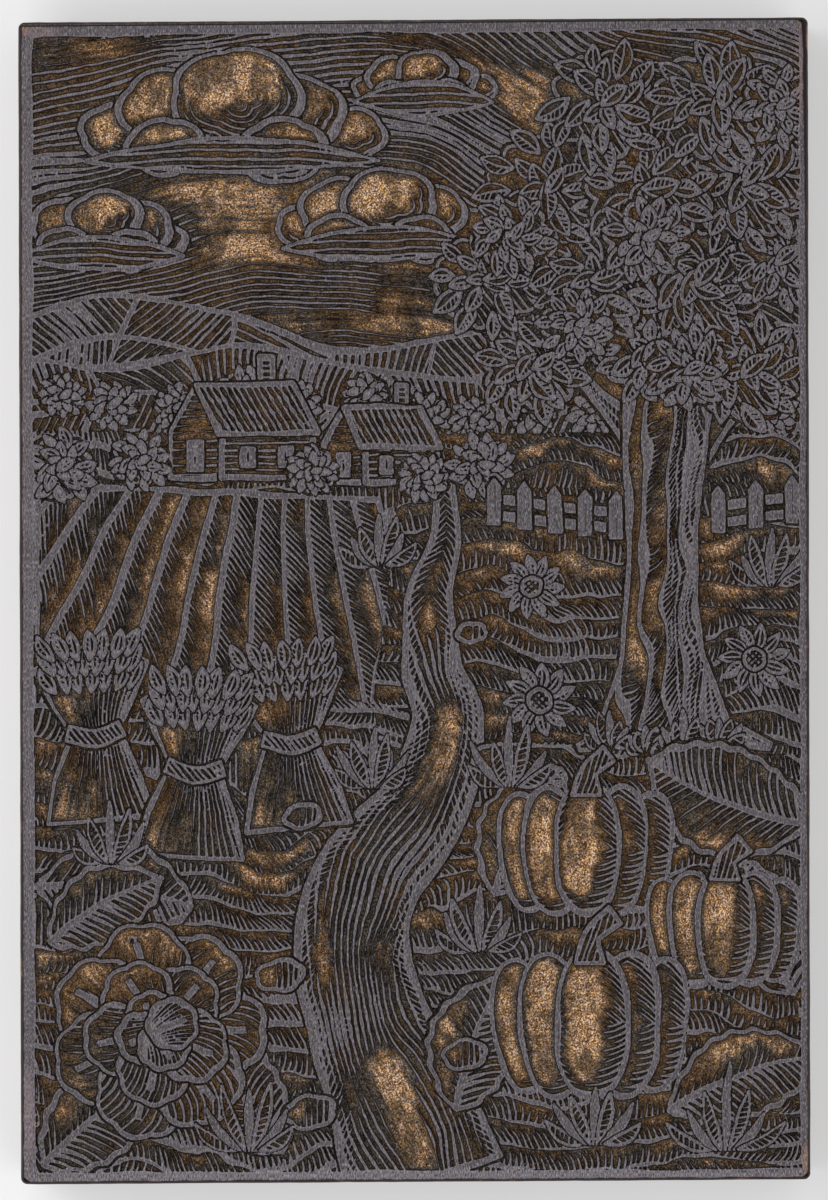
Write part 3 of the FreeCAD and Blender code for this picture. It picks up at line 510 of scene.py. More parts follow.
def carve_sheaf(relief, centre, turn):
    """A bound sheaf: ears above, the band, and the stalks spread below it."""
    height, width = 24, 12
    axis = unit(turn + 90)
    outline = np.array([centre + axis * height * up + axis * -1j * width * side for side, up in (
        (-0.62, -0.50), (0.62, -0.50), (0.50, -0.25), (0.28, 0.02), (0.50, 0.22), (0.66, 0.40),
        (0.34, 0.50), (-0.34, 0.50), (-0.66, 0.40), (-0.50, 0.22), (-0.28, 0.02), (-0.50, -0.25))])
    part, x, y, depth = relief.inside(outline)
    up, left = turned(x, y, centre, turn + 90)
    spread = 0.56 * width * (0.42 + 0.58 * np.abs(up / (height / 2)) ** 1.1)
    share = left / spread
    tone = 0.20 - 0.50 * share + 0.25 * ripple(up, left, 4.0, 61)
    stalks = strokes(share * width * 0.5, up, tone, 0.92, 62, np.maximum(spread / (width * 0.5), 0.3))
    relief.lay(part, depth, stalks, 0.8, 0.5)
    for row, (level, count) in enumerate(((0.33, 7), (0.43, 8), (0.52, 7))):
        for index in range(count):
            side = (index + 0.5) / count * 2 - 1
            place = centre + axis * height * level + axis * -1j * -side * width * 0.60
            lean = turn + 90 + 34 * side
            tone = side * (index % 2) - 0.2
            carve_leaflet(relief, place, height * 0.17, width * 0.13, lean, tone, index)
    band, _ = ribbon([centre + axis * 1j * width * 0.32 + axis * 0.6, centre - axis * 0.5,
                      centre - axis * 1j * width * 0.32 + axis * 0.6], (2.0, 2.2, 2.0), 9)
    part, x, y, depth = relief.inside(band)
    relief.lay(part, depth, strokes(x + y * 0.8, y, 0.75, 0.9, 63), 0.55, 0.4)


def carve_pumpkin(relief, centre, size, seed):
    """Gores that swell from stalk to foot, combed from each rib towards a clear middle."""
    width, height = 27 * size, 19 * size
    for side in (-0.82, 0.82, -0.46, 0.44, 0.02):
        place = centre + complex(side * width * 0.40, -0.03 * height * abs(side))
        wide = width * (0.34 - 0.10 * abs(side))
        tall = height * (1.0 - 0.16 * side * side)
        angle = np.linspace(0, 2 * np.pi, 40, endpoint=False)
        bulge = np.sign(np.sin(angle)) * np.abs(np.sin(angle)) ** 0.75
        outline = place + (np.cos(angle) * wide / 2 + 1j * bulge * tall / 2) * unit(-9 * side)
        part, x, y, depth = relief.inside(outline)
        left, up = x - place.real, y - place.imag
        arc = up + (0.26 + 0.03 * up) * np.abs(left) + 0.10 * left ** 2 * np.sign(up)
        waver = 0.25 * ripple(x, y, 3.5, seed + 3)
        right = 0.85 + 0.35 * side - 0.5 * up / height - depth / (0.34 * wide) + waver
        light = 0.40 + 0.35 * side - 0.3 * up / height - depth / (0.20 * wide) + waver
        shade = light + (right - light) * fade(left / (0.3 * wide) + 0.5)
        relief.lay(part, depth, strokes(arc, left, shade, 0.92, seed), 0.80, 0.15)
    stalk, _ = ribbon([centre + complex(0, height * 0.40), centre + complex(0.3, height * 0.58),
                       centre + complex(width * 0.12, height * 0.72)], (4.0, 2.2, 2.7), 9)
    part, x, y, depth = relief.inside(stalk)
    relief.lay(part, depth, strokes(x - 0.3 * y, y, 0.45, 0.8, seed + 1), 0.6, 0.4)


def carve_broad_leaf(relief, base, length, width, degrees, seed, bow=0.06):
    """A broad leaf: side veins comb each half from the midrib and fade towards the rim."""
    centre = base + unit(degrees) * length / 2
    part, x, y = relief.around(centre, length / 2 + 1.5)
    crinkle = 0.35 * np.sin(turned(x, y, centre, degrees)[0] * 2.1)
    depth, along, aside = lens(x, y, centre, length, width, degrees, bow, 0.8)
    depth = depth + crinkle * fade(1 - depth / 2.0) * 0.6
    side = np.sign(aside)
    across = along - np.abs(aside) * 0.85 + 0.05 * aside ** 2 + 0.35 * side
    tone = 0.48 - 1.10 * np.abs(aside) / (width / 2) - 0.35 * side + 0.30 * ripple(x, y, 4.0, seed)
    veins = strokes(across, np.abs(aside), tone + 0.25, 1.10, seed, 0.78)
    rib = 0.48 * (1 - 0.6 * fade(along / length + 0.5)) - np.abs(aside)
    relief.lay(part, depth, np.maximum(veins, rib), 0.85, 0.5)


def carve_cabbage(relief, centre, radius):
    """A cabbage from above: broad crinkled leaves in rings round a tight heart."""
    for ring, (share, count, size) in enumerate(((0.62, 7, 0.86), (0.38, 5, 0.66), (0.16, 4, 0.46))):
        for index in range(count):
            angle = 360 * (index + 0.5 * ring) / count + 12 * ring
            place = centre + radius * share * unit(angle)
            long, wide = radius * size * 0.98, radius * size * 1.02
            outline = scalloped(place, long, wide, 7, 0.10, index, angle)
            part, x, y, depth = relief.inside(outline)
            along, aside = turned(x, y, centre, angle)
            out = along - radius * share
            fan = np.arctan2(aside, along + radius * 0.3) * radius
            across = fan + 0.06 * out ** 2
            tone = 0.40 - 1.2 * out / long - 0.35 * unit(angle - CARVED_LIGHT).real
            veins = strokes(across, along, tone, 1.0, 71 + index, (along + radius * 0.3) / radius)
            rib = 0.45 - np.abs(aside)
            relief.lay(part, depth, np.maximum(veins, np.where(out < long * 0.3, rib, -1)), 0.8, 0.35)


def carve_daisy(relief, centre, radius, turn):
    """A daisy from above: petals round a cross-cut middle."""
    petals, seed = 11, 171
    for index in range(petals):
        angle = turn + 360 * index / petals
        carve_leaflet(relief, centre + radius * 0.62 * unit(angle), radius * 0.80, radius * 0.30, angle,
                      -1 if index % 3 else 1, seed)
    outline = scalloped(centre, radius * 0.62, radius * 0.62, 6, 0.06)
    part, x, y, depth = relief.inside(outline)
    seeds = np.minimum(strokes(x + y, x, 0.9, 0.95, seed), strokes(x - y, x, 0.9, 0.95, seed + 1))
    relief.lay(part, depth, seeds, 0.5, 0.35)


def carve_tuft(relief, foot, height, seed):
    """Blades of grass that spread from one foot, some solid and some only outlined."""
    blades = 7
    for index in range(blades):
        side = index / (blades - 1) * 2 - 1
        tall = height * (1 - 0.35 * abs(side)) * (0.8 + 0.35 * hashed(index, 2, seed))
        turn = 90 - 56 * side + 10 * (hashed(index, 3, seed) - 0.5)
        place = foot + unit(turn) * tall * 0.5 + complex(side * height * 0.16, 0)
        solid = index % 2
        part, x, y = relief.around(place, tall / 2 + 0.8)
        depth, along, aside = lens(x, y, place, tall, 0.95 if solid else 1.5, turn, -0.11 * side)
        comb = strokes(along + 0.6 * aside, aside, 0.35 - 0.5 * aside - along / tall, 0.8, seed)
        relief.lay(part, depth, np.where(solid, 0.3, comb), 0.34, 0.26)


def carve_rim(relief):
    """The raised border that frames the picture."""
    x, y = relief.cut_x, relief.cut_y
    sides = np.minimum(x + HALF_WIDTH - LEFT_RIM, HALF_WIDTH - RIGHT_RIM - x)
    head = HEAD_RIM + 0.22 + 0.2 * (1 - x / HALF_WIDTH)
    foot = FOOT_RIM - 0.3 - 0.12 * x / HALF_WIDTH
    ends = np.minimum(y + HALF_LENGTH - foot, HALF_LENGTH - head - y)
    relief.field = np.maximum(relief.field, -np.minimum(sides, ends))
    for across, turn in ((0.182, 93), (0.883, 88)):
        relief.gouge(relief.spot(across, 1.006), 1.7, 0.24, turn, 0.04)


def carve_picture(relief):
    """The whole picture, from the far sky to the near leaves, and its border."""
    carve_sky(relief)
    carve_each(relief, carve_cloud, [
        (-0.48, 0.830, 36, 14, 1), (-0.08, 0.660, 25, 10, 2), (-0.82, 0.640, 20, 8.5, 3),
        (0.02, 0.900, 17, 6.5, 4)])
    for brow, tone, seed, pitch, fan in (
            ([(-1.05, 0.49), (-0.80, 0.535), (-0.50, 0.505), (-0.20, 0.44), (0.10, 0.46),
              (0.40, 0.50), (1.05, 0.47)], 0.70, 81, 1.0, 0.35),
            ([(-1.05, 0.43), (-0.80, 0.41), (-0.45, 0.445), (-0.10, 0.40), (0.25, 0.385),
              (0.60, 0.42), (1.05, 0.40)], 0.75, 83, 1.0, -0.45),
            ([(-1.05, 0.345), (-0.70, 0.365), (-0.35, 0.33), (0.0, 0.315), (0.35, 0.33),
              (1.05, 0.30)], 0.60, 85, 1.05, 0.30)):
        carve_hill(relief, brow, tone, seed, pitch, fan)
    for index in range(13):
        across = -0.95 + 0.155 * index + 0.05 * hashed(index, 1, 5)
        up = 0.335 + 0.025 * hashed(index, 2, 5) - 0.02 * (across > 0)
        carve_leafy(relief, relief.spot(across, up), 2.6 + 1.5 * hashed(index, 3, 5), 90 + index)
    carve_grass(relief, [(-1.05, 0.17), (1.05, 0.15), (1.05, 0.285), (-1.05, 0.30)], 101, 0.02)
    carve_field(relief)
    for corners, seed, tone in (
            ([(-0.14, -0.30), (1.05, -0.34), (1.05, 0.205), (-0.04, 0.190)], 103, 0.05),
            ([(-1.05, -0.62), (0.20, -0.66), (0.05, -0.22), (-0.10, -0.185), (-1.05, -0.085)],
             105, 0.10),
            ([(-1.05, -1.05), (1.05, -1.05), (1.05, -0.28), (-0.10, -0.24), (-1.05, -0.50)],
             107, 0.16)):
        carve_grass(relief, corners, seed, tone)
    carve_stream(relief)
    carve_each(relief, carve_cottage, [(-0.64, 0.215, 20, 111), (-0.24, 0.205, 16, 112)])
    carve_each(relief, carve_leafy, [
        (-0.72, 0.245, 3.6, 121), (-0.27, 0.225, 3.0, 122), (0.02, 0.215, 3.2, 123),
        (0.17, 0.235, 4.0, 124), (-0.93, 0.235, 4.4, 125)])
    carve_fence(relief, relief.spot(0.20, 0.130), relief.spot(0.52, 0.105), 4)
    carve_fence(relief, relief.spot(0.79, 0.115), relief.spot(0.98, 0.130), 2)
    carve_trunk(relief)
    carve_each(relief, carve_leafy, [
        (0.86, 0.400, 7.4, 151), (0.31, 0.415, 7.0, 152), (0.60, 0.430, 6.0, 153),
        (0.19, 0.560, 7.2, 154), (0.74, 0.555, 8.0, 155), (0.47, 0.560, 8.0, 156),
        (0.95, 0.590, 6.0, 157), (0.34, 0.715, 8.0, 158), (0.86, 0.725, 8.2, 159),
        (0.61, 0.715, 8.4, 160), (0.50, 0.865, 7.8, 161), (0.78, 0.865, 8.2, 162),
        (0.25, 0.640, 5.0, 163), (0.60, 0.630, 5.4, 164), (0.95, 0.860, 5.0, 165),
        (0.42, 0.480, 4.6, 166), (0.71, 0.400, 5.2, 167)])
    carve_each(relief, carve_sheaf, [(-0.84, -0.235, 4), (-0.33, -0.250, 5), (-0.58, -0.300, -4)])
    carve_each(relief, carve_daisy, [
        (0.32, -0.180, 5.0, 20), (0.30, 0.020, 4.4, 0), (0.88, -0.110, 5.0, 15)])
    carve_each(relief, carve_broad_leaf, [
        (1.02, -0.400, 24, 15, 158, 181), (0.20, -0.520, 20, 11, 62, 182),
        (0.66, -0.900, 22, 12, 20, 183), (0.10, -0.900, 20, 12, 70, 184),
        (-0.99, -0.500, 22, 13, -8, 185), (0.98, -0.700, 20, 12, 110, 186),
        (-0.96, -0.60, 18, 10, 30, 187), (-0.35, -0.97, 20, 11, 118, 188),
        (-0.98, -0.99, 20, 12, 35, 189)])
    carve_each(relief, carve_pumpkin, [
        (0.44, -0.440, 0.98, 191), (0.80, -0.580, 0.86, 192), (0.45, -0.745, 1.10, 193)])
    carve_cabbage(relief, relief.spot(-0.68, -0.755), 14.5)
    carve_each(relief, carve_stone, [
        (-0.30, -0.38, 5, 201), (0.20, -0.28, 6, 202), (-0.36, -0.66, 6.5, 203),
        (0.12, -0.80, 6, 204), (-0.28, -0.90, 7, 205), (0.14, -0.06, 4, 206)])
    carve_each(relief, carve_tuft, [
        (-0.10, 0.060, 7, 211), (0.24, -0.330, 9, 212), (0.92, 0.020, 8, 213),
        (0.46, -0.960, 9, 214), (-0.44, -0.965, 10, 215), (0.80, -0.97, 11, 216),
        (-0.12, -0.33, 8, 217), (0.16, -0.62, 9, 218), (-0.80, -0.46, 8, 219)])
    carve_rim(relief)


# From the field to the carved mesh.

TILE_ROWS, TILE_COLUMNS = 4, 3
FLOOD_START = 64
MOST_DEPTH = 2.2
# How far each ring of the plank's side stands in from the full width, and how far down it lies.
SIDE_PROFILE = [(0.30, 0), (0.16, 0.03), (0.06, 0.12), (0.01, 0.28), (0.0, 0.6), (0.0, 3.0),
                (0.0, 6.0), (0.0, 8.9), (0.08, 9.2), (0.25, 9.3)]


def shifted(shape, down, across):
    """The part of a grid that a shift leaves on it."""
    return tuple(slice(max(move, 0), count + min(move, 0)) for move, count in zip((down, across), shape))


def room_from_walls(relief):
    """The distance from each cut place to the nearest raised wood, by jump flooding."""
    field, step = relief.field, relief.step
    numbers = [np.arange(count, dtype=np.float32) for count in field.shape]
    j, i = np.meshgrid(*numbers, indexing="ij")
    raised = field >= 0
    best = np.where(raised, 0, 1e9).astype(np.float32)
    near_j, near_i = j.copy(), i.copy()
    jump = FLOOD_START
    while jump:
        for dj in (-jump, 0, jump):
            for di in (-jump, 0, jump):
                if not (dj or di):
                    continue
                here, there = shifted(field.shape, dj, di), shifted(field.shape, -dj, -di)
                sj, si = near_j[there], near_i[there]
                distance = np.hypot(j[here] - sj, i[here] - si)
                distance[best[there] > 1e8] = 1e9
                closer = distance < best[here]
                for target, source in ((best, distance), (near_j, sj), (near_i, si)):
                    view = target[here]
                    view[closer] = source[closer]
        jump //= 2
    inside = field[near_j.astype(int), near_i.astype(int)]
    return np.where(raised, 0, np.maximum(best * step - np.clip(inside, 0, step), 0.02))


def carved_points(relief):
    """The mesh's points: the edges of every cut are drawn onto its line, and the cuts sunk."""
    field, step = relief.field, relief.step
    room = room_from_walls(relief)
    slope_y, slope_x = np.gradient(field, step)
    steep = np.maximum(slope_x ** 2 + slope_y ** 2, 0.25)
    shift_x, shift_y = -field * slope_x / steep, -field * slope_y / steep
    on_edge = np.hypot(shift_x, shift_y) < 0.5 * step
    on_edge[[0, -1], :] = False
    on_edge[:, [0, -1]] = False
    raised = (field > 0) | on_edge
    room = np.minimum(room, np.maximum(-field, 0.02))
    depth = CLEAR_DEPTH * (1 - np.exp(-room / WALL_REACH))
    floor = fade(room / 1.2)
    x, y = relief.x, relief.flat_y
    depth += floor * (0.14 * ripple(x, y, 2.4, 301) + 0.09 * ripple(x, y, 0.8, 302))
    depth = np.where(raised, 0.02 + 0.02 * ripple(x, y, 9.0, 303), np.clip(depth, 0.12, MOST_DEPTH))
    depth = np.maximum(depth, bevel_fall(x, y))
    x = x + np.where(on_edge, shift_x, 0)
    y = relief.y + np.where(on_edge, shift_y, 0)
    x, y = round_corners(x, y)
    points = np.stack([x, y, TOP - depth], axis=-1)
    return points, np.where(raised, -np.maximum(field, 0), room)


def bevel_fall(x, y):
    """How far the worn bevel has sunk: wider to the head of the right edge and at each corner."""
    waver = 0.5 + 0.5 * ripple(x, y, 4.0, 321) + 0.3 * ripple(x, y, 0.9, 322)
    fall = 0.0
    right = 0.07 + 0.48 * fade((y - 50) / 34) + 0.24 * fade((y - 76) / 5)
    head = 0.34 - 0.0026 * (x + HALF_WIDTH)
    for gap, width in ((x + HALF_WIDTH, 0.05), (HALF_WIDTH - x, right),
                       (HALF_LENGTH + y, 0.03), (HALF_LENGTH - y, head)):
        fall = np.maximum(fall, 0.6 * (ARRIS + width + 0.14 * waver - gap))
    for side, end, radius in ((-1, 1, 1.3), (1, 1, 2.4), (-1, -1, 2.1), (1, -1, 1.9)):
        over_x = np.maximum(side * x - HALF_WIDTH + radius, 0)
        over_y = np.maximum(end * y - HALF_LENGTH + radius, 0)
        gap = radius - np.hypot(over_x, over_y)
        fall = np.maximum(fall, np.where(over_x * over_y > 0, 0.7 * (0.35 + 0.2 * waver - gap), 0))
    return np.minimum(fall, 0.7)


def round_corners(x, y):
    """Draws the square corners of the grid in to the board's rounded ones."""
    tilt = SKEW / (2 * HALF_WIDTH)
    reach = CORNER - ARRIS
    middle_x = HALF_WIDTH - CORNER
    middle_y = HALF_LENGTH - CORNER
    level = y - tilt * x
    over_x, over_y = np.abs(x) - middle_x, np.abs(level) - middle_y
    corner = (over_x > 0) & (over_y > 0)
    span = np.hypot(over_x, over_y)
    share = np.where(corner, np.maximum(over_x, over_y) / np.maximum(span, 1e-6), 1)
    x = np.where(corner, np.sign(x) * (middle_x + over_x * share), x)
    level = np.where(corner, np.sign(level) * (middle_y + over_y * share), level)
    return x, level + tilt * x


def new_piece(name, points, faces, material, sides=3):
    """A mesh object from plain arrays of points, in millimetres, and faces."""
    mesh = bpy.data.meshes.new(name)
    mesh.vertices.add(len(points))
    mesh.vertices.foreach_set("co", (points * MM).astype(np.float32).ravel())
    mesh.loops.add(faces.size)
    mesh.loops.foreach_set("vertex_index", faces.ravel().astype(np.int32))
    mesh.polygons.add(len(faces))
    mesh.polygons.foreach_set("loop_start", np.arange(0, faces.size, sides, dtype=np.int32))
    mesh.update(calc_edges=True)
    mesh.validate()
    mesh.materials.append(material)
    piece = bpy.data.objects.new(name, mesh)
    bpy.context.collection.objects.link(piece)
    return piece


def build_carving(relief, material):
    """The carved face, in tiles that each ride on the block."""
    points, room = carved_points(relief)
    rows, columns = room.shape
    tiles = []
    row_cuts = np.linspace(0, rows - 1, TILE_ROWS + 1).astype(int)
    column_cuts = np.linspace(0, columns - 1, TILE_COLUMNS + 1).astype(int)
    for tile_row in range(TILE_ROWS):
        for tile_column in range(TILE_COLUMNS):
            part = (slice(row_cuts[tile_row], row_cuts[tile_row + 1] + 1),
                    slice(column_cuts[tile_column], column_cuts[tile_column + 1] + 1))
            z, cut = points[part][..., 2], points[part].reshape(-1, 3)
            count = np.arange(z.size).reshape(z.shape)
            a, b, c, d = count[:-1, :-1], count[:-1, 1:], count[1:, 1:], count[1:, :-1]
            rising = (z[:-1, :-1] + z[1:, 1:] > z[:-1, 1:] + z[1:, :-1])[..., None]
            first = np.where(rising, np.stack([a, b, c], -1), np.stack([a, b, d], -1))
            second = np.where(rising, np.stack([a, c, d], -1), np.stack([b, c, d], -1))
            faces = np.concatenate([first.reshape(-1, 3), second.reshape(-1, 3)])
            tile = new_piece(f"carved_face_{tile_row + 1}_{tile_column + 1}", cut, faces, material)
            layer = tile.data.attributes.new("room", "FLOAT", "POINT")
            layer.data.foreach_set("value", room[part].astype(np.float32).ravel())
            low, high = cut.min(axis=0), cut.max(axis=0)
            place = ((cut[faces.ravel()] - low) / (high - low))[:, :2]
            layer = tile.data.uv_layers.new(name="OFBake")
            layer.data.foreach_set("uv", place.astype(np.float32).ravel())
            tile.data.set_sharp_from_angle(angle=math.radians(32))
            tiles.append(tile)
    edge = np.concatenate([points[0, :-1], points[:-1, -1], points[-1, :0:-1], points[:0:-1, 0]])
    return tiles, edge


def build_sides(edge, material):
    """The plank's worn arris, its sides and its underside, below the edge of the carved face."""
    after, before = np.roll(edge, -1, axis=0), np.roll(edge, 1, axis=0)
    ahead = (after - before)[:, :2]
    ahead /= np.linalg.norm(ahead, axis=1, keepdims=True)
    outward = np.stack([ahead[:, 1], -ahead[:, 0]], axis=1)
    for _ in range(4):
        outward = (np.roll(outward, 1, axis=0) + outward + np.roll(outward, -1, axis=0)) / 3
    outward /= np.linalg.norm(outward, axis=1, keepdims=True)
    x, y = edge[:, 0], edge[:, 1]
    height = TOP - FACE_FOOT
    rings = []
    for inset, drop in SIDE_PROFILE:
        worn = 0.5 + 0.5 * ripple(x + 3 * drop, y, 7.0, 311)
        worn = np.clip(worn + 0.3 * ripple(x, y + drop, 1.6, 312), 0, 1)
        fall = drop if drop < 1 else height - (SIDE_PROFILE[-1][1] - drop)
        ring = edge.copy()
        ring[:, :2] += outward * (ARRIS - inset - (0.06 * worn * (drop > 0)))[:, None]
        ring[:, 2] = edge[:, 2] - fall
        rings.append(ring)
    rings[-1][:, 2] = FACE_FOOT
    count = len(edge)
    points = np.concatenate(rings + [np.array([[0, 0, FACE_FOOT]])])
    here = np.arange(count)
    there = np.roll(here, -1)
    faces = []
    for level in range(len(rings) - 1):
        upper, lower = level * count, (level + 1) * count
        faces.append(np.stack([upper + here, lower + here, lower + there], -1))
        faces.append(np.stack([upper + here, lower + there, upper + there], -1))
    last = (len(rings) - 1) * count
    faces.append(np.stack([last + there, last + here, np.full(count, len(points) - 1)], -1))
    piece = new_piece("carved_plank_sides", points, np.concatenate(faces), material)
    piece.data.set_sharp_from_angle(angle=math.radians(50))
    return piece


# Materials.

COOL_FLECK = (0.92, 1.02, 1.34, 1.0)
WARM_FLECK = (1.08, 0.98, 0.68, 1.0)
# Paler places: worn corners and edge patches, and a paler left border and foot border. Centre and reach in
# millimetres, share and colour.
PALE_SPOTS = [
    ((-54.6, 0.0), (1.9, 110.0), 0.14, (122, 117, 122)),
    ((0.0, -80.9), (85.0, 1.6), 0.42, (126, 121, 127)),
    ((-54.9, 80.7), (1.1, 1.2), 0.8, (128, 90, 66)),
    ((-52.4, 80.3), (3.2, 1.2), 0.6, (114, 98, 96)),
    ((-54.6, -72.5), (1.6, 9.0), 0.6, (122, 108, 112)),
    ((54.2, 74.0), (0.8, 9.0), 0.6, (116, 97, 93)),
    ((55.0, -78.9), (1.0, 3.0), 0.7, (134, 104, 87)),
    ((-55.1, 30.0), (0.5, 70.0), 0.6, (96, 87, 84)),
]
# Dark, middle and pale wood.
FACE_COLOURS = (74, 52, 36), (108, 79, 56), (136, 104, 77)
MOUNT_COLOURS = (66, 46, 32), (100, 72, 51), (128, 96, 71)
KEY_COLOURS = (44, 27, 18), (72, 46, 30), (98, 65, 43)
PEG_COLOURS = (112, 82, 56), (150, 116, 82), (180, 146, 110)
SCREW_HEAD = 3.5
screw_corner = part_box("back_screws")[1] / MM
SCREW_X, SCREW_Y = screw_corner.x - SCREW_HEAD, screw_corner.y - SCREW_HEAD


def tint(red, green, blue):
    """A linear colour from 0 to 255 screen values."""
    def linear(value):
        value /= 255
        return value / 12.92 if value <= 0.04045 else ((value + 0.055) / 1.055) ** 2.4
    return (linear(red), linear(green), linear(blue), 1.0)


class Nodes:
    """A new material, and short calls for its nodes.

    An input is another node's output, a number or a colour: three screen values or four linear ones.
    """

    def __init__(self, name):
        self.material = bpy.data.materials.new(name)
        self.material.use_nodes = True
        self.tree = self.material.node_tree
        self.shader = self.tree.nodes["Principled BSDF"]
        self.place = self.tree.nodes.new("ShaderNodeTexCoord").outputs["Object"]

    def link(self, value, socket):
        if isinstance(value, bpy.types.NodeSocket):
            self.tree.links.new(value, socket)
            return
        screen = isinstance(value, tuple) and len(value) == 3
        socket.default_value = tint(*value) if screen else value

    def shade(self, **inputs):
        """Feeds the shader's sockets, which are named with underscores for spaces."""
        for name, value in inputs.items():
            self.link(value, self.shader.inputs[name.replace("_", " ")])

    def math(self, operation, *values):
        node = self.tree.nodes.new("ShaderNodeMath")
        node.operation = operation
        for socket, value in zip(node.inputs, values):
            self.link(value, socket)
        return node.outputs[0]

    def plus(self, first, second):
        return self.math("ADD", first, second)

    def minus(self, first, second):
        return self.math("SUBTRACT", first, second)

    def times(self, first, second):
        return self.math("MULTIPLY", first, second)

    def between(self, value, low, high, start=0.0, end=1.0):
        """The value's place between two levels, held to the ends and eased."""
        node = self.tree.nodes.new("ShaderNodeMapRange")
        node.interpolation_type = "SMOOTHSTEP"
        for socket, item in zip(node.inputs, (value, low, high, start, end)):
            self.link(item, socket)
        return node.outputs[0]

    def mix(self, share, first, second, kind="MIX"):
        node = self.tree.nodes.new("ShaderNodeMix")
        node.data_type, node.blend_type = "RGBA", kind
        self.link(share, node.inputs[0])
        self.link(first, node.inputs[6])
        self.link(second, node.inputs[7])
        return node.outputs[2]

    def ramp(self, value, stops):
        node = self.tree.nodes.new("ShaderNodeValToRGB")
        elements = node.color_ramp.elements
        while len(elements) < len(stops):
            elements.new(0.5)
        for element, (position, colour) in zip(elements, stops):
            element.position, element.color = position, tint(*colour)
        self.link(value, node.inputs[0])
        return node.outputs[0]

    def stretched(self, scale):
        node = self.tree.nodes.new("ShaderNodeMapping")
        self.link(self.place, node.inputs["Vector"])
        node.inputs["Scale"].default_value = scale
        return node.outputs[0]

    def noise(self, scale, detail=3.0, rough=0.55, distortion=0.0):
        """Noise whose bumps are given per metre, along each axis."""
        node = self.tree.nodes.new("ShaderNodeTexNoise")
        node.inputs["Scale"].default_value = 1.0
        node.inputs["Detail"].default_value = detail
        node.inputs["Roughness"].default_value = rough
        node.inputs["Distortion"].default_value = distortion
        self.link(self.stretched(scale), node.inputs["Vector"])
        return node.outputs["Fac"]

    def bump(self, height, strength, distance):
        node = self.tree.nodes.new("ShaderNodeBump")
        node.inputs["Strength"].default_value = strength
        node.inputs["Distance"].default_value = distance
        self.link(height, node.inputs["Height"])
        return node.outputs[0]

    def spot(self, centre, reach):
        """A soft, ragged oval: 1 at its centre and 0 beyond its reach, in millimetres."""
        aside = self.math("DIVIDE", self.minus(self.axis("X"), centre[0] * MM), reach[0] * MM)
        ahead = self.math("DIVIDE", self.minus(self.axis("Y"), centre[1] * MM), reach[1] * MM)
        square = self.plus(self.times(aside, aside), self.times(ahead, ahead))
        ragged = self.math("MULTIPLY_ADD", self.noise((1500, 700, 900), 3.0, 0.6), 1.2, -0.6)
        return self.between(self.plus(square, ragged), 1.0, 0.15)

    def axis(self, name):
        node = self.tree.nodes.new("ShaderNodeSeparateXYZ")
        self.link(self.place, node.inputs[0])
        return node.outputs[name]


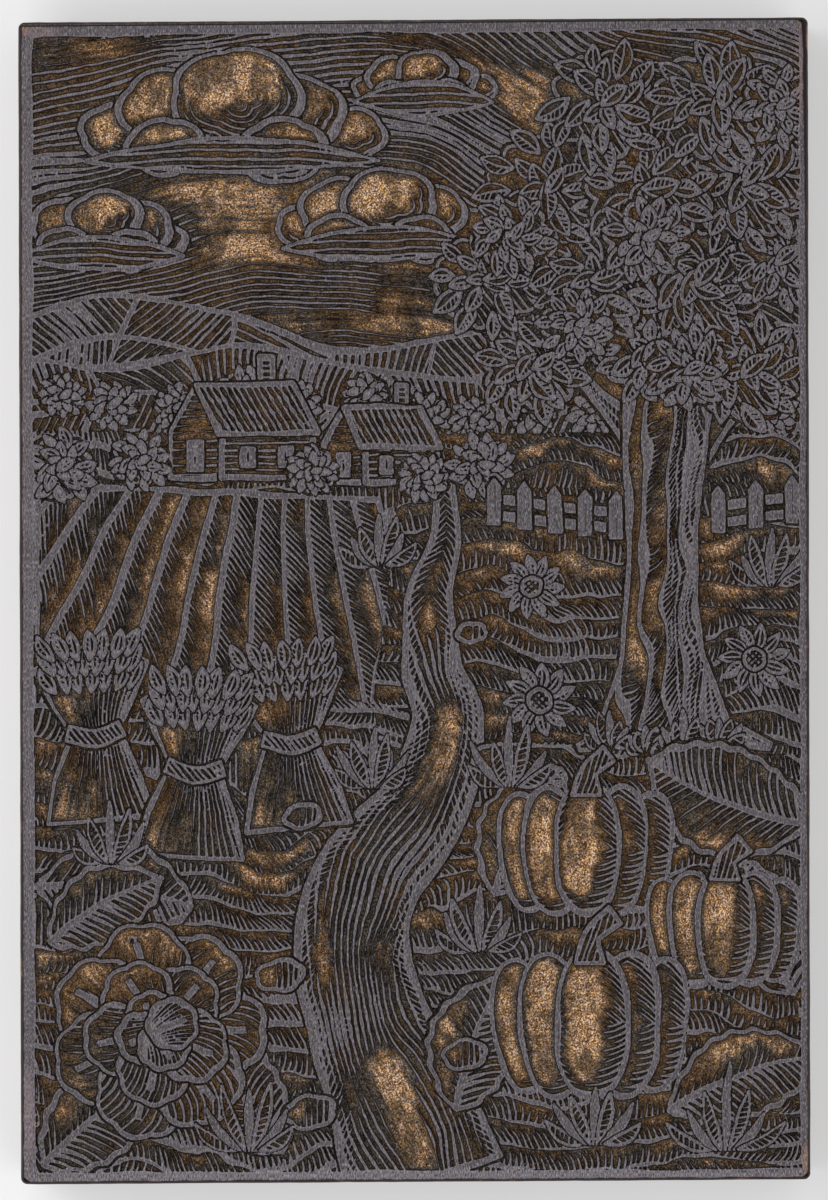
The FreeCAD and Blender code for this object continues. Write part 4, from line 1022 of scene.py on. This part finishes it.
def carved_wood():
    """Inked flats with upright grain and painted edge highlights, near-black cuts with painted shade at
    their walls, and tan cleared ground.
    """
    n = Nodes("carved_face_wood")
    room_node = n.tree.nodes.new("ShaderNodeAttribute")
    room_node.attribute_name = "room"
    room = room_node.outputs["Fac"]
    flat = n.between(n.axis("Z"), (TOP - 0.16) * MM, (TOP - 0.06) * MM)

    grain = n.noise((3600, 200, 300), 3.0, 0.6)
    fibre = n.noise((6800, 1900, 900), 2.0, 0.6)
    cloud = n.noise((90, 50, 60), 3.0, 0.6)
    inked = n.ramp(grain, [(0.30, (54, 50, 53)), (0.50, (79, 74, 77)), (0.70, (98, 92, 97))])
    inked = n.mix(n.between(cloud, 0.42, 0.68, 0.0, 0.4), inked, (66, 61, 64))
    # Painted highlight: the flats turn paler within about 0.2 mm of their edges.
    inked = n.mix(n.between(room, -0.20, -0.03, 0.0, 0.4), inked, (122, 116, 121))
    for centre, reach, share, colour in PALE_SPOTS:
        inked = n.mix(n.times(n.spot(centre, reach), share), inked, colour)
    # Specks of dust and ink, thicker on the foot's border.
    speck = n.between(n.axis("Y"), -0.0775, -0.0800, 0.66, 0.95)
    light_speck = n.times(n.between(fibre, 0.51, 0.70), speck)
    dark_speck = n.times(n.between(fibre, 0.49, 0.31), speck)
    inked = n.mix(light_speck, inked, (146, 140, 145))
    inked = n.mix(dark_speck, inked, (30, 27, 29))

    speckle = n.noise((4300, 3700, 4300), 2.0, 0.8)
    mottle = n.noise((900, 700, 900), 3.0, 0.6)
    patch = n.noise((260, 190, 260), 4.0, 0.65)
    hue = n.noise((110, 80, 110), 3.0, 0.6)
    grit = n.plus(n.times(speckle, 0.84), n.times(mottle, 0.16))
    ground = n.ramp(grit, [(0.36, (44, 30, 20)), (0.44, (92, 66, 44)), (0.53, (158, 122, 90)),
                           (0.63, (248, 216, 178))])
    stained = n.ramp(grit, [(0.34, (22, 16, 12)), (0.48, (76, 58, 42)), (0.66, (150, 126, 102))])
    ground = n.mix(n.between(patch, 0.40, 0.55), stained, ground)
    # Painted shade: the cuts darken towards their walls, and a near-black painted shadow lines each wall,
    # wider where the ground is stained.
    grey_wall_shade = n.ramp(grit, [(0.36, (12, 9, 8)), (0.48, (51, 45, 41)), (0.64, (132, 120, 108))])
    brown_wall_shade = n.ramp(grit, [(0.36, (18, 11, 6)), (0.48, (68, 51, 36)), (0.64, (150, 120, 88))])
    near = n.mix(n.between(hue, 0.42, 0.58), grey_wall_shade, brown_wall_shade)
    cut = n.mix(n.between(room, 0.36, 0.85), near, ground)
    dark_band = n.between(patch, 0.35, 0.60, 0.40, 0.24)
    cut = n.mix(n.between(room, 0.06, dark_band), (10, 6, 4), cut)
    colour = n.mix(flat, cut, inked)
    fleck = n.noise((1500, 1300, 1500), 3.0, 0.7)
    swing = n.mix(n.between(fleck, 0.36, 0.64), COOL_FLECK, WARM_FLECK)
    colour = n.mix(n.between(flat, 0.0, 1.0, 1.0, 0.28), colour, swing, "MULTIPLY")
    colour = dark_edges(n, colour, grain)
    roughness = n.between(flat, 0.0, 1.0, 0.80, 0.60)
    height = n.plus(n.times(grain, flat), n.times(speckle, n.minus(1.0, flat)))
    normal = n.bump(height, 0.5, 0.12 * MM)
    n.shade(Base_Color=colour, Roughness=roughness, Specular_IOR_Level=0.12, Normal=normal)
    return n.material


def dark_edges(n, colour, grain):
    """Dark lines along the edges: a grey bevel with a dark line at the head, dark lines elsewhere."""
    lean = n.times(n.axis("X"), SKEW / (2 * HALF_WIDTH))
    level = n.minus(n.axis("Y"), lean)
    waver = n.math("MULTIPLY_ADD", n.noise((420, 420, 420), 3.0, 0.6), 0.0005, -0.00025)
    head_gap = n.minus(HALF_LENGTH * MM, level)
    head_width = n.math("MULTIPLY_ADD", n.axis("X"), -0.0026, 0.00048)
    band = n.between(head_gap, n.plus(head_width, 0.00002), n.minus(head_width, 0.00006))
    colour = n.mix(band, colour, n.mix(n.between(grain, 0.4, 0.6), (50, 45, 47), (78, 71, 73)))
    line_gap = n.math("ABSOLUTE", n.minus(head_gap, n.minus(head_width, 0.00002)))
    colour = n.mix(n.between(line_gap, 0.00013, 0.00005), colour, (28, 22, 24))
    right_width = n.between(level, 0.040, 0.081, 0.00040, 0.00078)
    gaps = ((n.plus(n.axis("X"), HALF_WIDTH * MM), 0.00047),
            (n.minus(HALF_WIDTH * MM, n.axis("X")), right_width),
            (n.plus(level, HALF_LENGTH * MM), 0.00044))
    for gap, width in gaps:
        edge = n.between(n.plus(gap, waver), n.plus(width, 0.00012), n.minus(width, 0.00008))
        colour = n.mix(edge, colour, (36, 27, 31))
    return colour


def by_grain(grain, across, along):
    """A noise scale that is longer along the grain's axis than across it."""
    return tuple(along if axis == grain else across for axis in "XYZ")


def growth_rings(n, grain, pith, ring):
    """The place in its year's ring, from 0 to 1, of wood grown round a pith outside the piece."""
    aside, down = (n.axis(axis) for axis in "XYZ" if axis != grain)
    aside = n.minus(aside, pith[0] * MM)
    down = n.minus(down, pith[1] * MM)
    square = n.math("MULTIPLY_ADD", aside, aside, n.times(down, down))
    sway = n.times(n.noise(by_grain(grain, 26, 8), 2.0, 0.5), 5.0)
    years = n.math("MULTIPLY_ADD", n.math("SQRT", square), 1 / (ring * MM), sway)
    return n.math("FRACT", years)


def plank_wood(name, colours, grain, pith, ring):
    """Planed wood with rings, fibres and pores, soiled by ink and rubbed by hands."""
    n = Nodes(name)
    dark, middle, pale = colours
    rings = growth_rings(n, grain, pith, ring)
    streak = n.noise(by_grain(grain, 1500, 40), 3.0, 0.6)
    fibre = n.noise(by_grain(grain, 5600, 300), 3.0, 0.65)
    pores = n.noise(by_grain(grain, 4200, 380), 1.0, 0.5)
    stain = n.noise((70, 60, 90), 4.0, 0.65)
    smudge = n.noise((260, 240, 420), 5.0, 0.7)
    colour = n.ramp(rings, [(0.0, pale), (0.35, pale), (0.72, middle), (0.90, dark), (1.0, middle)])
    colour = n.mix(n.between(streak, 0.30, 0.70, 0.55, 0.0), colour, middle)
    for mask, none, full, share, over in (
            (fibre, 0.50, 0.72, 0.45, pale), (fibre, 0.50, 0.28, 0.70, dark),
            (pores, 0.60, 0.70, 0.75, (34, 23, 16)), (stain, 0.46, 0.70, 0.6, dark),
            (smudge, 0.56, 0.72, 0.65, (44, 38, 38))):
        colour = n.mix(n.between(mask, none, full, 0.0, share), colour, over)
    seam = n.math("ABSOLUTE", n.minus(n.axis("Z"), FACE_FOOT * MM))
    colour = n.mix(n.between(seam, 0.00045, 0.00010, 0.0, 0.75), colour, (26, 19, 15))
    past_side = n.minus(n.math("ABSOLUTE", n.axis("X")), HALF_WIDTH * MM)
    past_end = n.minus(n.math("ABSOLUTE", n.axis("Y")), HALF_LENGTH * MM)
    upright = n.between(n.math("MINIMUM", past_side, past_end), -0.0011, -0.0004)
    foot = n.between(n.axis("Z"), 0.0009, 0.0003)
    rubbed = n.times(n.math("MAXIMUM", upright, foot), n.between(smudge, 0.62, 0.42, 0.0, 0.5))
    colour = n.mix(rubbed, colour, pale)
    inky_level = n.math("MULTIPLY_ADD", smudge, 0.0075, n.axis("Z"))
    dark_band = n.between(inky_level, (TOP + 1.7) * MM, (TOP + 3.1) * MM)
    colour = n.mix(n.times(dark_band, 0.93), colour, (34, 28, 30))
    roughness = n.between(stain, 0.3, 0.7, 0.66, 0.48)
    height = n.math("MULTIPLY_ADD", pores, -1.5, n.math("MULTIPLY_ADD", rings, -0.35, fibre))
    normal = n.bump(height, 0.45, 0.10 * MM)
    n.shade(Base_Color=colour, Roughness=roughness, Specular_IOR_Level=0.3, Normal=normal)
    return n.material


def old_steel():
    """Turned screw heads, bright where they are rubbed and brown at the rim and in the slot."""
    n = Nodes("old_screw_steel")
    aside = n.minus(n.math("ABSOLUTE", n.axis("X")), SCREW_X * MM)
    ahead = n.minus(n.math("ABSOLUTE", n.axis("Y")), SCREW_Y * MM)
    radius = n.math("SQRT", n.math("MULTIPLY_ADD", aside, aside, n.times(ahead, ahead)))
    turned = n.math("SINE", n.times(radius, 2 * math.pi / (0.22 * MM)))
    rust = n.noise((900, 900, 900), 5.0, 0.7)
    scratch = n.noise((5200, 500, 900), 3.0, 0.6)
    rusty = n.math("MAXIMUM", n.between(rust, 0.46, 0.66), n.between(radius, 0.0028, 0.0036, 0.0, 0.8))
    rusty = n.math("MAXIMUM", rusty, n.between(n.axis("Z"), 0.0005, 0.0010))
    brown = n.mix(n.between(rust, 0.40, 0.60), (58, 38, 28), (98, 62, 42))
    steel = n.mix(n.between(scratch, 0.40, 0.62), (92, 90, 87), (148, 144, 138))
    colour = n.mix(rusty, steel, brown)
    metallic = n.between(rusty, 0.1, 0.9, 0.95, 0.15)
    roughness = n.between(rusty, 0.0, 1.0, 0.36, 0.82)
    height = n.math("MULTIPLY_ADD", turned, 0.2, n.plus(rust, scratch))
    normal = n.bump(height, 0.4, 0.05 * MM)
    n.shade(Base_Color=colour, Metallic=metallic, Roughness=roughness, Normal=normal)
    return n.material


def dress_node(name, material):
    """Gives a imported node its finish."""
    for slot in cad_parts[name].material_slots:
        slot.material = material


# Stage, lights and camera. The camera's measures are millimetres and pixels, the rest metres.

FLOOR_REACH = 3.0
# The share of the floor, as the camera sees it, that is a glow of painted light and shade.
FLOOR_PAINTED_LIGHT = 0.5
WHITE = (1.0, 1.0, 1.0, 1.0)
WORLD_STRENGTH = 0.72
LAMP_SIZE = 1.4
PHOTO_WIDTH, PHOTO_HEIGHT = 828, 1200
MM_PER_PIXEL = 0.1406
BLOCK_CENTRE = (414.4, 600.9)
CAMERA_HEIGHT = 1400.0
CAMERA_ROLL = 0.13
SENSOR_WIDTH = 36.0


def build_stage():
    """A pale floor, with painted light left of the block and painted shadow round it, as in the photograph.
    """
    mesh = bpy.data.meshes.new("pale_floor")
    corners = [(x * FLOOR_REACH, y * FLOOR_REACH, 0) for x, y in ((-1, -1), (1, -1), (1, 1), (-1, 1))]
    mesh.from_pydata(corners, [], [(0, 1, 2, 3)])
    floor = bpy.data.objects.new("pale_floor", mesh)
    bpy.context.collection.objects.link(floor)
    n = Nodes("floor_painted_light_and_shade")
    n.shade(Base_Color=n.mix(n.noise((30, 30, 30), 2.0, 0.5), (238, 239, 241), (242, 243, 245)),
            Roughness=0.9)
    # Painted light and shadow near the block, seen by the camera only: paler to its left, darker above,
    # below and to its right, and an even pale tone further out.
    beside, beyond = n.math("ABSOLUTE", n.axis("X")), n.math("ABSOLUTE", n.axis("Y"))
    close = n.times(n.between(beside, 0.078, 0.062), n.between(beyond, 0.104, 0.088))
    painted_light_and_shade = n.mix(n.between(n.axis("X"), -0.0575, -0.047), (232, 232, 232), (203, 203, 203))
    painted_light_and_shade = n.mix(n.between(n.axis("X"), 0.047, 0.0575), painted_light_and_shade, (206, 206, 205))
    painted_glow = n.tree.nodes.new("ShaderNodeEmission")
    n.link(n.mix(close, (222, 222, 222), painted_light_and_shade), painted_glow.inputs["Color"])
    to_camera = n.tree.nodes.new("ShaderNodeLightPath").outputs["Is Camera Ray"]
    both = n.tree.nodes.new("ShaderNodeMixShader")
    for socket, value in zip(both.inputs, (n.times(to_camera, FLOOR_PAINTED_LIGHT), n.shader.outputs[0],
                                           painted_glow.outputs[0])):
        n.link(value, socket)
    n.link(both.outputs[0], n.tree.nodes["Material Output"].inputs["Surface"])
    mesh.materials.append(n.material)


def build_light():
    """Two soft lamps that look at the block, and a pale world."""
    for name, place, watts in (("key_lamp", (-1.25, 0.22, 1.2), 19.0), ("fill_lamp", (1.0, -0.6, 1.7), 9.5)):
        data = bpy.data.lights.new(name, "AREA")
        data.size, data.energy = LAMP_SIZE, watts
        lamp = bpy.data.objects.new(name, data)
        lamp.location = place
        lamp.rotation_euler = (-Vector(place)).to_track_quat("-Z", "Y").to_euler()
        bpy.context.collection.objects.link(lamp)
    world = bpy.data.worlds.new("studio")
    world.use_nodes = True
    background = world.node_tree.nodes["Background"]
    background.inputs["Color"].default_value = WHITE
    background.inputs["Strength"].default_value = WORLD_STRENGTH
    bpy.context.scene.world = world


def build_camera():
    """Straight down with a long lens, framed as the photograph is."""
    data = bpy.data.cameras.new("camera")
    data.sensor_width = SENSOR_WIDTH
    data.lens = SENSOR_WIDTH * (CAMERA_HEIGHT - TOP) / (PHOTO_HEIGHT * MM_PER_PIXEL)
    data.clip_start, data.clip_end = 0.05, 20.0
    camera = bpy.data.objects.new("camera", data)
    x = (PHOTO_WIDTH / 2 - BLOCK_CENTRE[0]) * MM_PER_PIXEL
    y = (BLOCK_CENTRE[1] - PHOTO_HEIGHT / 2) * MM_PER_PIXEL
    camera.location = Vector((x, y, CAMERA_HEIGHT)) * MM
    camera.rotation_euler = (0, 0, -math.radians(CAMERA_ROLL))
    bpy.context.collection.objects.link(camera)
    bpy.context.scene.camera = camera


# The part.

relief = Relief(GRID_STEP)
carve_picture(relief)
tiles, edge = build_carving(relief, carved_wood())
side_wood = plank_wood("plank_side_wood", FACE_COLOURS, "Y", (18, -34), 1.6)
sides = build_sides(edge, side_wood)
for piece in tiles + [sides]:
    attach(piece, "root")
    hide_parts("face_board")
mount_wood = plank_wood("mount_side_wood", MOUNT_COLOURS, "Y", (-20, 44), 2.1)
key_wood = plank_wood("key_side_wood", KEY_COLOURS, "X", (0, -60), 1.6)
peg_wood = plank_wood("peg_wood", PEG_COLOURS, "Z", (160, 20), 1.3)
dress_node("base_board", mount_wood)
dress_node("head_key", key_wood)
dress_node("foot_key", key_wood)
dress_node("key_pegs", peg_wood)
dress_node("register_dowels", peg_wood)
dress_node("back_screws", old_steel())

build_stage()
build_light()
build_camera()
bpy.context.scene.view_settings.view_transform = "Standard"
